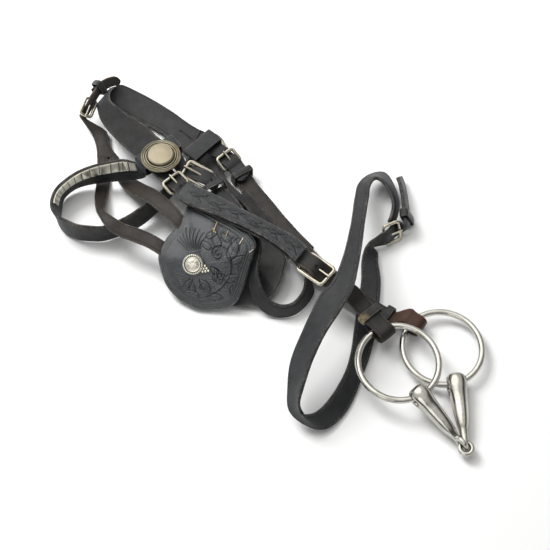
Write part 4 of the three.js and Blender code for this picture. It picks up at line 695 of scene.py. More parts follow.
def leather(name, dark, light, flesh, worn, rough=(0.40, 0.62), sheen=(0.10, (0.62, 0.72, 0.78, 1)), grain=1.0, flesh_amount=1.0, patch=None, spec=0.36):
    """Waxed strap leather: pebbled grain on the outer face, fibrous flesh side, worn rolled edges, painted shade in the
    cuts, creases and crevices.
    """
    N = Nodes(name)
    big = N.noise(38, 4, 0.6)
    mid = N.noise(210, 5, 0.6, offset=3.1)
    col = N.mix(N.maprange(big, 0.35, 0.68, 0, 1), dark, light)
    col = N.mix(N.maprange(mid, 0.42, 0.72, 0, 0.55), col, tuple(min(1, c * 1.35) for c in light[:3]) + (1,))
    side = N.attr("side")
    fl = N.maprange(side, -0.2, -0.8, 0, flesh_amount)
    col = N.mix(fl, col, flesh)
    wear = N.attr("wear")
    rub = N.noise(330, 6, 0.7, offset=7.7)
    patches = N.noise(70, 3, 0.6, offset=1.9)
    wf = N.math("MULTIPLY", wear, N.maprange(rub, 0.40, 0.62, 0, 1))
    wf = N.math("MULTIPLY", wf, N.maprange(patches, 0.40, 0.62, 0.1, 1))
    col = N.mix(N.math("MULTIPLY", wf, 0.75), col, worn)
    # painted shade: the carve mask (tooled cuts, edge creases, slits, punched holes) darkens the colour there
    carve = N.attr("carve")
    col = N.mix(N.maprange(carve, 0.15, 1.3, 0, 0.80), col, (dark[0] * 0.22, dark[1] * 0.22, dark[2] * 0.24, 1))
    # painted shade: ambient occlusion darkens the colour in crevices, creases and where parts meet
    ao = N.t.nodes.new("ShaderNodeAmbientOcclusion")
    ao.samples = 5
    ao.inputs["Distance"].default_value = 0.004
    col = N.mix(N.maprange(ao.outputs["AO"], 0.3, 0.95, 0.75, 0), col, (dark[0] * 0.35, dark[1] * 0.35, dark[2] * 0.35, 1))
    # dust that lies in the open grain
    dust = N.noise(900, 3, 0.6, offset=5.0)
    dm = N.math("MULTIPLY", N.maprange(dust, 0.60, 0.75, 0, 0.22), N.maprange(big, 0.45, 0.7, 0.2, 1))
    col = N.mix(dm, col, (0.075, 0.072, 0.070, 1))
    if patch:
        centre, radius, tint = patch[:3]
        geo = N.t.nodes.new("ShaderNodeVectorMath")
        geo.operation = "DISTANCE"
        N.link(N.tc.outputs["Object"], geo.inputs[0])
        geo.inputs[1].default_value = centre
        fac = N.maprange(geo.outputs["Value"], radius * 0.35, radius, 1, 0)
        if len(patch) > 3:
            fac = N.maprange(geo.outputs["Value"], radius * 0.75, radius, 1, 0)
        fac = N.math("MULTIPLY", fac, N.maprange(N.noise(260, 5, 0.65, offset=2.2), 0.30 if len(patch) > 3 else 0.38, 0.58, 0.6 if len(patch) > 3 else 0, 1))
        col = N.mix(fac, col, tint)
    rg = N.maprange(N.noise(120, 5, 0.6, offset=11.0), 0.3, 0.7, rough[0], rough[1])
    rg = N.math("ADD", rg, N.math("MULTIPLY", fl, 0.22))
    rg = N.math("SUBTRACT", rg, N.math("MULTIPLY", wf, 0.08))
    peb = N.voronoi(1050 / grain, "SMOOTH_F1" if False else "F1")
    fine = N.noise(2600, 3, 0.6)
    fibre = N.noise(800, 6, 0.75, dist=1.5, offset=4.0)
    h1 = N.bump(N.math("MULTIPLY", peb, N.math("SUBTRACT", 1.0, fl)), 0.35, 0.00016)
    h2 = N.bump(fine, 0.25, 0.00008, h1)
    h3 = N.bump(N.math("MULTIPLY", fibre, fl), 0.5, 0.00035, h2)
    wr = N.noise(150, 4, 0.55, dist=0.8, offset=9.0, stretch=(1.0, 1.0, 1.6))
    h4 = N.bump(wr, 0.42, 0.0005, h3)
    scuff = N.noise(520, 5, 0.7, dist=2.2, offset=13.0, stretch=(1.0, 3.2, 1.0))
    rg = N.math("ADD", rg, N.maprange(scuff, 0.40, 0.66, -0.07, 0.10))
    h4 = N.bump(scuff, 0.22, 0.00022, h4)
    stip = N.attr("stip")
    pits = N.math("MULTIPLY", N.maprange(N.voronoi(820), 0.0, 0.75, 0, 1), stip)
    h4 = N.bump(pits, 0.9, 0.00045, h4)
    N.set(Base_Color=col, Roughness=rg, Normal=h4, Specular_IOR_Level=spec)
    N.p.inputs["Sheen Weight"].default_value = sheen[0]
    N.p.inputs["Sheen Roughness"].default_value = 0.45
    N.p.inputs["Sheen Tint"].default_value = sheen[1]
    return N.m


def metal(name, base, patina, rough=(0.12, 0.3), patina_amount=0.35, scratch=0.25, scale=1.0, carve=False, occl=None):
    N = Nodes(name)
    a = N.noise(60 * scale, 5, 0.6, offset=1.3)
    b = N.noise(420 * scale, 6, 0.7, offset=6.2)
    col = N.mix(N.math("MULTIPLY", N.maprange(a, 0.42, 0.68, 0, 1), patina_amount), base, patina)
    col = N.mix(N.math("MULTIPLY", N.maprange(b, 0.55, 0.75, 0, 1), patina_amount * 0.8), col, tuple(c * 0.55 for c in patina[:3]) + (1,))
    # painted shade: the carve mask darkens the gaps and the foot of each clincher square
    if carve:
        cv = N.attr("carve")
        col = N.mix(N.maprange(cv, 0.1, 1.0, 0, 0.85), col, tuple(c * 0.22 for c in patina[:3]) + (1,))
    # painted shade: ambient occlusion darkens the colour in grooves and crevices, towards a very dark tint of the
    # patina colour
    if occl:
        ao = N.t.nodes.new("ShaderNodeAmbientOcclusion")
        ao.samples = 6
        ao.inputs["Distance"].default_value = occl[0]
        f_ = N.maprange(ao.outputs["AO"], 0.35, 0.9, occl[1], 0)
        col = N.mix(f_, col, tuple(c * 0.18 for c in patina[:3]) + (1,))
    rg = N.maprange(N.noise(140 * scale, 5, 0.65, offset=8.0), 0.3, 0.72, rough[0], rough[1])
    scr = N.noise(700 * scale, 4, 0.6, dist=0.4, offset=2.0, stretch=(1, 7, 1))
    dents = N.noise(90 * scale, 3, 0.5, offset=4.5)
    h1 = N.bump(scr, scratch, 0.00003)
    h2 = N.bump(dents, 0.25, 0.0005, h1)
    N.set(Base_Color=col, Roughness=rg, Normal=h2, Metallic=1.0)
    return N.m


def thread(name, a, b):
    N = Nodes(name)
    sh = N.attr("shade")
    col = N.mix(sh, a, b)
    tw = N.noise(2400, 2, 0.5)
    N.set(Base_Color=col, Roughness=0.75, Normal=N.bump(tw, 0.6, 0.0001))
    return N.m

# ---------------------------------------------------------------- finishes
BLACK = leather("leather_black", lin(23, 24, 25), lin(36, 37, 39), lin(34, 32, 31), lin(104, 97, 90), rough=(0.34, 0.54))
BLACK_FINE = leather("leather_tooled", lin(20, 22, 24), lin(33, 36, 39), lin(29, 28, 27), lin(130, 128, 124), rough=(0.26, 0.42), sheen=(0.05, (0.60, 0.74, 0.82, 1)), grain=0.8, spec=0.5)
BLINKER = leather("leather_blinker", lin(33, 35, 37), lin(54, 58, 61), lin(30, 29, 29), lin(126, 124, 120), rough=(0.27, 0.40), sheen=(0.10, (0.60, 0.74, 0.82, 1)), grain=0.8, spec=0.75)
CROWN = leather("leather_crown", lin(19, 19, 20), lin(31, 30, 31), lin(33, 32, 32), lin(104, 98, 90), rough=(0.38, 0.58))
BROWN = leather("leather_brown", lin(31, 28, 26), lin(45, 40, 37), lin(40, 34, 31), lin(108, 94, 80), rough=(0.40, 0.62), sheen=(0.03, (0.7, 0.66, 0.62, 1)))
BILLET = leather("leather_billet", lin(19, 18, 18), lin(30, 28, 27), lin(28, 25, 24), lin(98, 86, 75), rough=(0.36, 0.56), sheen=(0.03, (0.7, 0.68, 0.66, 1)))
RUSSET = leather("leather_russet", lin(20, 17, 16), lin(30, 26, 23), lin(36, 28, 25), lin(104, 84, 68), rough=(0.38, 0.58), sheen=(0.03, (0.8, 0.7, 0.6, 1)),
    patch=(tuple(float(q) for q in (A3(RUSSET_AT) + SHIFT) * 0.001), 0.027, lin(58, 36, 26), 1))
NICKEL = metal("bit_steel", lin(196, 194, 187), lin(116, 112, 104), rough=(0.09, 0.21), patina_amount=0.45, occl=(0.0022, 0.55))
BUCKLE = metal("buckle_nickel", lin(205, 200, 184), lin(132, 120, 96), rough=(0.16, 0.34), patina_amount=0.5, scratch=0.3, scale=1.6, occl=(0.0015, 0.7))
SILVER = metal("nickel_silver", lin(238, 235, 222), lin(176, 166, 138), rough=(0.26, 0.42), patina_amount=0.35, scratch=0.3, scale=2.0, carve=True, occl=(0.0009, 0.85))
CHAMPAGNE = metal("rosette_plate", lin(166, 158, 138), lin(142, 128, 102), rough=(0.34, 0.50), patina_amount=0.4, scratch=0.25, scale=0.7, occl=(0.0016, 0.8))
RIM = metal("rosette_rim", lin(178, 172, 152), lin(112, 98, 66), rough=(0.26, 0.42), patina_amount=0.6, scratch=0.3, scale=2.2, carve=True, occl=(0.0011, 0.95))
THREAD = thread("thread_dark", lin(60, 58, 56), lin(96, 92, 86))
THREAD_LIGHT = thread("thread_waxed", lin(176, 150, 92), lin(214, 206, 190))

EYE = A3([0.0, -399.05, 750.5])


def flipped(st):
    S = A3(st)
    return np.concatenate([S[:, 3:], S[:, :3]], 1)


def facing(st, at=None, away_from=None):
    """The strap with its grain face towards the viewer, or away from a point where it passes near at."""
    S = dens(st, 12)
    c, t, w, n, hw = frames_of(S)
    if at is not None:
        i = np.argmin(np.linalg.norm(c - A3(at), axis=1))
        good = n[i] @ (c[i] - A3(away_from)) > 0
    else:
        good = (np.sum(n * unit(EYE - c), 1)).mean() > 0
    return A3(st) if good else flipped(st)


def st_of(k):
    return A3(STRAPS[k]["st"])


STITCH = {}


def add_rows(key, fr, inset, s0=None, s1=None, both=True, lift=0.02, pitch=2.9, clear=None, **kw):
    sh = STITCH.setdefault(key, Shape())
    for right in ((True, False) if both else (True,)):
        P, N = path_on(fr, inset, right, s0, s1, lift)
        free = np.ones(len(P), bool) if clear is None else np.linalg.norm(P - A3(clear[0]), axis=1) > clear[1]
        cut_at = np.flatnonzero(np.diff(free.astype(int))) + 1
        for part in np.split(np.arange(len(P)), cut_at):
            if len(part) > 8 and free[part[0]]:
                stitches(sh, P[part], N[part], pitch=pitch, **kw)


# ---------------------------------------------------------------- headpiece and cheeks
def slit_relief(S, Y, HW):
    """The cut where the headpiece splits into its two tails."""
    g = np.exp(-(((Y - 0.8) / 0.42) ** 2)) * np.clip((S - (S.max() - 19.0)) / 1.2, 0, 1)
    # second value: painted shade in the slit
    return -1.1 * g, 2.4 * g


sh = Shape()
q = np.vstack([st_of("crown"), A3([-73.6, 107.9, 10.9, -62.5, 132.2, 12.4])])
fr = ribbon(sh, facing(q), STRAPS["crown"]["t"], ds=0.9, inner=56, crown=0.15, seed=3, relief=slit_relief)
for k, hs in (("near_tail_cheek", [(-8, 0, 1.2)]), ("near_tail_throat", [(-9, 0, 1.2)]), ("far_tail_cheek", [(-8, 0, 1.2)]), ("far_tail_throat", [(-10, 0, 1.1)])):
    q = st_of(k)
    if k.startswith("far"):
        q[:2, [2, 5]] -= 0.5 if k == "far_tail_cheek" else 0.65
    ribbon(sh, facing(q), STRAPS[k]["t"], ds=0.8, inner=12, holes=hs, tip=(0, 5.0), seed=len(k), crown=0.12)
make("headpiece", sh, CROWN, "bridle", ["crown"])

sh = Shape()
fr = ribbon(sh, facing(st_of("throat_far")), STRAPS["throat_far"]["t"], ds=1.1, inner=12, seed=8, crown=0.2)
make("throat_latch_strap", sh, CROWN, "bridle", ["throat_latch"])


def vine(length, hw0, seed=0):
    """Relief of a running leaf vine between the crease lines of a cheek strap."""

    def f(S, Y, HW):
        H = np.zeros_like(S)
        C = np.zeros_like(S)
        q = HW - 3.6
        field = np.clip((q - np.abs(Y)) / 0.5, 0, 1)
        a, b = 6.0, length - 13.0
        pitch = 17.5
        k = int((b - a) // pitch)
        stem = [(x, 2.0 * math.sin(2 * math.pi * (x - a) / (2 * pitch))) for x in np.linspace(a, b, 90)]
        cut(H, C, S, Y, stem, 0.34, 0.38)
        for i in range(k + 1):
            x0 = a + 3 + i * pitch
            sg = 1 if i % 2 == 0 else -1
            leaf(H, C, S, Y, x0, 0.6 * sg, 0.30 * sg, 14.5, 6.4, bend=0.12 * sg, veins=3, depth=0.36, puff=0.42)
            leaf(H, C, S, Y, x0 + 4, -1.0 * sg, -0.42 * sg, 9.5, 4.4, bend=-0.15 * sg, veins=2, depth=0.34, puff=0.35)
            cut(H, C, S, Y, scroll(x0 + 13.5, 3.0 * sg, 2.3, 1.2, start=-1.2 * sg, way=sg), 0.30, 0.34)
        H *= field
        C *= field
        # border lines; C marks them for painted shade
        for d, dep in ((3.2, 0.28),):
            g = np.exp(-(((HW - np.abs(Y) - d) / 0.30) ** 2)) * (S > a - 4) * (S < b + 5)
            H -= dep * g
            C += 0.9 * g
        return H, C

    return f


sh = Shape()
S0 = facing(st_of("near_cheek_outer"))
length = by_length(dens(S0), 1.0)[1][-1]
fr = ribbon(sh, S0, STRAPS["near_cheek_outer"]["t"], ds=0.5, inner=40, crease=0.22, crease_d=2.0, crown=0.55, relief=vine(length, 8), seed=5, edge=1.2)
make("near_cheek_tooled", sh, BLACK_FINE, "bridle", ["near_cheek_outer"])
add_rows("dark", fr, 1.9, 3, -3)
sh = Shape()
fr = ribbon(sh, facing(st_of("near_cheek_lining")), STRAPS["near_cheek_lining"]["t"], ds=1.0, inner=12, seed=6)
make("near_cheek_back", sh, BLACK, "bridle", ["near_cheek_lining"])
sh = Shape()
fr = ribbon(sh, facing(st_of("far_cheek")), STRAPS["far_cheek"]["t"], ds=0.9, inner=16, seed=9, edge=1.1, crown=0.3)
make("far_cheek_strap", sh, BROWN, "bridle", ["far_cheek"])
add_rows("dark", fr, 1.9, 3, -3)

sh = Shape()
fr = ribbon(sh, facing(st_of("near_billet")), STRAPS["near_billet"]["t"], ds=0.7, inner=14, seed=11, tip=(0, 0), holes=[(24, 0, 1.25)], waver=0.08)
make("near_billet", sh, BILLET, "bridle", ["near_bit_billet"])
sh = Shape()
fr = ribbon(sh, facing(st_of("far_billet")), STRAPS["far_billet"]["t"], ds=0.7, inner=14, seed=12, waver=0.08)
make("far_billet", sh, RUSSET, "bridle", ["far_bit_billet"])

# ---------------------------------------------------------------- noseband
sh = Shape()
S0 = facing(st_of("noseband"), at=NOSE_AT, away_from=NOSE_MID)
fr = ribbon(sh, S0, STRAPS["noseband"]["t"] - 0.1, ds=0.9, inner=22, seed=14, crown=0.08, crease=0.26, crease_d=2.3, edge=1.2)
make("noseband_strap", sh, BLACK, "bridle", ["noseband"])
add_rows("dark", fr, 2.3, NOSE_STITCH[0], NOSE_STITCH[1], clear=(SLEEVES["keeper_far_bit"][0], 21.0))

# ---------------------------------------------------------------- winker stay
sh = Shape()
fr = ribbon(sh, facing(st_of("winker_stay")), STRAPS["winker_stay"]["t"], ds=0.8, inner=16, seed=15, holes=[(STAY_HOLE, 0, 1.2)], tip=(4.5, 0))
for k, sd in (("stay_b1", 16), ("stay_b2", 17)):
    q = st_of(k)
    q = np.vstack([q, q[-1] + (q[-1] - q[-2]) / np.linalg.norm((q[-1] - q[-2])[:3]) * 9 + A3([0, 0, -3.4, 0, 0, -3.4])])
    ribbon(sh, facing(q), STRAPS[k]["t"], ds=0.9, inner=12, seed=sd)
make("winker_stay_strap", sh, BROWN, "bridle", ["winker_stay"])
sh = Shape()
ribbon(sh, facing(st_of("stay_chape")), STRAPS["stay_chape"]["t"], ds=0.8, inner=10, seed=18)
make("winker_stay_back", sh, BROWN, "bridle", ["winker_stay_chape"])


# ---------------------------------------------------------------- loops and keepers
def loop_path(s, wall=1.4, r=1.7):
    o, x, y, z, w, h, length = s
    a, b = w / 2 + wall / 2, h / 2 + wall / 2
    r = min(r, b * 0.9)
    pts = []
    for cx, cy, g0 in ((a - r, b - r, 0), (-a + r, b - r, 90), (-a + r, -b + r, 180), (a - r, -b + r, 270)):
        for k in range(5):
            g = math.radians(g0 + k * 22.5)
            pts.append((cx + r * math.cos(g), cy + r * math.sin(g)))
    P = np.array(pts + pts[:1])
    L = np.concatenate([[0], np.cumsum(np.linalg.norm(np.diff(P, axis=0), axis=1))])
    n = int(L[-1] / 0.55)
    u = np.linspace(0, L[-1], n, endpoint=False)
    return np.stack([np.interp(u, L, P[:, i]) for i in range(2)], 1)


def loop_strap(sh, s, wall=1.4, seed=0, crease=0.22, bulge=0.25, wob_=0.12):
    """A leather loop: a strap closed on itself, with rolled rims and a crease line at each rim."""
    o, x, y, z, w, h, length = s
    Q = loop_path(s, wall)
    n = len(Q)
    T = unit(np.roll(Q, -1, 0) - np.roll(Q, 1, 0))
    Nn = np.stack([T[:, 1], -T[:, 0]], 1)
    hl, t = length / 2, wall
    r = t / 2 * 0.95
    ang = np.linspace(math.pi / 2, 0, 5)
    sec = []
    inner = np.linspace(-hl + 0.5 + r, hl - 0.5 - r, 13)
    for xx in inner:
        d = hl - abs(xx)
        zz = t / 2 + bulge * (1 - (xx / hl) ** 2) - crease * math.exp(-(((d - 1.5) / 0.32) ** 2))
        sec.append((xx, zz, math.exp(-d / 0.9), 1, math.exp(-(((d - 1.5) / 0.34) ** 2))))
    for a in ang:
        sec.append((hl - r + r * math.cos(a), t / 2 - r + r * math.sin(a), 1, 1, 0))
    for a in ang[::-1][1:]:
        sec.append((hl - r + r * math.cos(a), -(t / 2 - r + r * math.sin(a)), 0.8, -1, 0))
    for xx in (hl * 0.5, 0, -hl * 0.5):
        sec.append((xx, -t / 2, 0, -1, 0))
    for a in ang:
        sec.append((-hl + r - r * math.cos(a), -(t / 2 - r + r * math.sin(a)), 0.8, -1, 0))
    for a in ang[::-1][1:]:
        sec.append((-hl + r - r * math.cos(a), t / 2 - r + r * math.sin(a), 1, 1, 0))
    sec = np.array(sec)
    m = len(sec)
    wob = wob_ * lump(np.linspace(0, 40, n), seed, 7.0)
    wob = wob * np.sin(np.linspace(0, math.pi, n))
    off = sec[None, :, 1] + np.where(sec[None, :, 3] > 0, wob[:, None], 0)
    yy = Q[:, None, 0] + Nn[:, None, 0] * off
    zz = Q[:, None, 1] + Nn[:, None, 1] * off
    P = A3(o) + A3(x) * sec[None, :, 0, None] + A3(y) * yy[..., None] + A3(z) * zz[..., None]
    one = lambda k: (np.ones((n, 1)) * sec[None, :, k]).ravel()
    # carve: painted shade along the rim creases
    sh.add(P.reshape(-1, 3), [grid_faces(n, m, True, True)], wear=one(2), carve=one(4), side=one(3))


sh = Shape()
fr = ribbon(sh, flipped(st_of("browband")), STRAPS["browband"]["t"], ds=0.9, inner=20, seed=19, crown=0.15, crease=0.25, crease_d=1.8, edge=1.2)
loop_strap(sh, SLEEVES["near_loop"], seed=20)
loop_strap(sh, SLEEVES["far_loop"], seed=21)
make("browband_strap", sh, BLACK, "bridle", ["browband"])
add_rows("dark", fr, 1.8, 6, -6)

KEEPER_TAN = leather(
    "leather_keeper_worn", lin(40, 40, 42), lin(58, 58, 60), lin(52, 46, 42), lin(120, 110, 96),
    patch=(tuple(float(q) for q in (A3(TAN_AT) + SHIFT) * 0.001), 0.0085, lin(176, 158, 122)),
)
for k in KEEPERS:
    sh = Shape()
    loop_strap(sh, SLEEVES[k], seed=len(k), bulge=0.0 if k == "keeper_far_bit" else 0.25, wob_=0.02 if k == "keeper_far_bit" else 0.12)
    make(k + "_loop", sh, KEEPER_TAN if k == "keeper_near_bit" else BLACK, k, [k])

# ---------------------------------------------------------------- clincher strip
sh = Shape()
S0 = A3(dens(st_of("browband"), 6))
c, t, w, n, hw = frames_of(S0)
n = -n
T = STRAPS["browband"]["t"] / 2 + 0.8
COUNT, first, last = 14, 8, 50
for i in range(COUNT):
    ps = [first + (last - first) * (i + q) / COUNT for q in (0.045, 0.5, 0.955)]
    rows = []
    for p in ps:
        i0 = int(p)
        u = p - i0
        i1 = min(i0 + 1, len(S0) - 1)
        a = S0[i0, :3] * (1 - u) + S0[i1, :3] * u
        b = S0[i0, 3:] * (1 - u) + S0[i1, 3:] * u
        nn = unit(n[i0] * (1 - u) + n[i1] * u)
        rows.append((a * 0.48 + b * 0.52, a * 0.04 + b * 0.96, nn))
    (lo0, hi0, n0), (lo1, hi1, n1), (lo2, hi2, n2) = rows
    quad = [lo0 + n0 * (T - 0.5), hi0 + n0 * (T - 0.5), hi2 + n2 * (T - 0.5), lo2 + n2 * (T - 0.5)]
    rim = [lo0 + n0 * (T + 0.42), hi0 + n0 * (T + 0.42), hi2 + n2 * (T + 0.42), lo2 + n2 * (T + 0.42)]
    mid = (lo1 + hi1) / 2
    inner_ = [r_ * 0.88 + (mid + n1 * (T + 0.42)) * 0.12 + nn_ * 0.22 for r_, nn_ in zip(rim, (n0, n0, n2, n2))]
    apex = mid + n1 * (T + 0.98)
    V = quad + rim + inner_ + [apex]
    F4 = [[0, 1, 2, 3]] + [[j, (j + 1) % 4, 4 + (j + 1) % 4, 4 + j] for j in range(4)] + [[4 + j, 4 + (j + 1) % 4, 8 + (j + 1) % 4, 8 + j] for j in range(4)]
    F3 = [[8 + j, 8 + (j + 1) % 4, 12] for j in range(4)]
    # carve: painted shade on the sides and foot of each square, none on the top
    sh.add(V, [np.array(F4), np.array(F3)], carve=[1.0] * 4 + [0.30] * 4 + [0] * 5)
# thin strip the squares stand on, darkened through carve as painted shade in the gaps between them
ps = np.linspace(first, last, 90)
i0 = ps.astype(int)
u = (ps - i0)[:, None]
i1 = np.minimum(i0 + 1, len(S0) - 1)
a = S0[i0, :3] * (1 - u) + S0[i1, :3] * u
b = S0[i0, 3:] * (1 - u) + S0[i1, 3:] * u
nn = unit(n[i0] * (1 - u) + n[i1] * u)
lo, hi = a * 0.48 + b * 0.52, a * 0.04 + b * 0.96
ring = np.stack([lo + nn * (T - 0.75), hi + nn * (T - 0.75), hi + nn * (T + 0.05), lo + nn * (T + 0.05)], 1)
sh.add(ring.reshape(-1, 3), [grid_faces(90, 4, False, True), np.array([[0, 1, 2, 3], [356, 359, 358, 357]])], carve=1.2)
make("clincher_squares", sh, SILVER, "bridle", ["clincher_strip"], flat=True)

# ---------------------------------------------------------------- rosettes
for k, tag in (("near_rosette", "near"), ("far_rosette", "far")):
    o, nrm = DISCS[k]
    sh = Shape()
    prof = rounded([[0, 0], [14.6, 0], [15.9, 0.6], [16.2, 1.4], [16.0, 2.3], [15.3, 2.75], [14.75, 2.0], [14.4, 1.9], [14.1, 2.5], [13.75, 2.75], [13.35, 2.6], [13.1, 1.8], [12.7, 1.7], [12.45, 2.7], [12.0, 3.0], [11.5, 2.8], [11.2, 1.6], [0, 1.6]], 0.2, 3)
    lathe(sh, prof, o, nrm, 144)
    x, y, z = basis(nrm)
    g = np.linspace(0, 2 * math.pi, 120, endpoint=False)
    balls(sh, [A3(o) + (x * math.cos(q) + y * math.sin(q)) * 15.55 + z * 2.45 for q in g], 0.40, nrm, 1.0, 6, 4)
    make(tag + "_rosette_rim", sh, RIM, "bridle", [k])
    sh = Shape()
    prof = rounded([[0, 1.9], [10.4, 1.9], [10.75, 2.6], [10.75, 3.6], [10.35, 4.5], [9.6, 5.0], [8.9, 4.95], [8.5, 5.05], [6, 5.35], [0, 5.5]], 0.35, 4)
    lathe(sh, prof, o, nrm, 144)
    make(tag + "_rosette_dome", sh, CHAMPAGNE, "bridle", [k + "_centre"])

# ---------------------------------------------------------------- blinkers
def smooth_closed(O, n):
    O = A3(O)
    S = dens(np.hstack([np.vstack([O[-2:], O, O[:3]]), np.zeros((len(O) + 5, 3))]), 16)[:, :3]
    a, b = 32, 32 + 16 * len(O)
    S = S[a : b + 1]
    L = np.concatenate([[0], np.cumsum(np.linalg.norm(np.diff(S, axis=0), axis=1))])
    u = np.linspace(0, L[-1], n, endpoint=False)
    return np.stack([np.interp(u, L, S[:, k]) for k in range(3)], 1), L[-1]


def near_tooling(A, B):
    H = np.zeros_like(A)
    C = np.zeros_like(A)
    # a fan of feather cuts over the dome
    for i in range(9):
        g = i / 8
        x1, y1 = -27 + 29 * g, 14 + 13 * math.sin(math.pi * (0.25 + 0.55 * g))
        x0, y0 = -12 + 8 * g, 9.5 + 1.5 * g
        cut(H, C, A, B, bez([(x0, y0), ((x0 + x1) / 2 - 3.5, (y0 + y1) / 2 + 1), (x1, y1)]), 0.36, 0.40)
    # main scroll stem with leaves, and a second scroll under it
    cut(H, C, A, B, bez([(-4, -27), (14, -24), (26, -8), (21, 6)]), 0.5, 0.45)
    cut(H, C, A, B, bez([(21, 6), (17, 16), (7, 17), (6, 10)]), 0.5, 0.45)
    cut(H, C, A, B, scroll(10.5, 8.5, 4.6, 1.5, start=2.9, way=1), 0.45, 0.42)
    for x0, y0, an, L, Wd, bd in (
        (20, 4, 1.15, 19, 8.5, 0.10), (21, 2, 0.45, 12, 6.0, -0.15), (12, 13, 2.0, 14, 6.5, 0.18), (5, 12, 2.6, 10, 5, 0.15), (16, -12, 0.2, 14, 6.5, 0.15),
        (13, -15, 1.9, 13, 6.5, -0.15), (4, -22, 2.2, 13, 6, -0.2), (2, -25, -0.1, 13, 5.5, 0.12), (22, -16, -1.3, 12, 5.5, 0.10), (-4, -26, 2.75, 12, 5, -0.15), (12, -7, 2.5, 9, 4.5, 0.15),
    ):
        leaf(H, C, A, B, x0, y0, an, L, Wd, bend=bd, veins=3, depth=0.42, puff=0.50)
    for x0, y0, an, L, Wd, bd in ((-16, -20, 0.9, 11, 5, 0.12), (-9, -24, 1.7, 11, 5, -0.12), (26, 10, 1.9, 12, 5.5, 0.12), (0, 20, 0.5, 11, 5, -0.1), (27, -4, 0.7, 8, 4, 0.1), (20, 18, 2.5, 10, 5, 0.1), (8, -13, 1.3, 8, 4, 0.1)):
        leaf(H, C, A, B, x0, y0, an, L, Wd, bend=bd, veins=2, depth=0.38, puff=0.42)
    for i in range(6):
        g = i / 5
        cut(H, C, A, B, bez([(-14 + 3 * g, -8 - 3 * g), (-19 + 3.5 * g, -12 - 4 * g), (-22 + 5 * g, -9 - 9 * g)]), 0.30, 0.34)
    cut(H, C, A, B, scroll(13, -8.5, 3.4, 1.35, start=0.4, way=-1), 0.42, 0.40)
    cut(H, C, A, B, scroll(-1, -18, 2.8, 1.3, start=1.2, way=1), 0.40, 0.38)
    return H, C


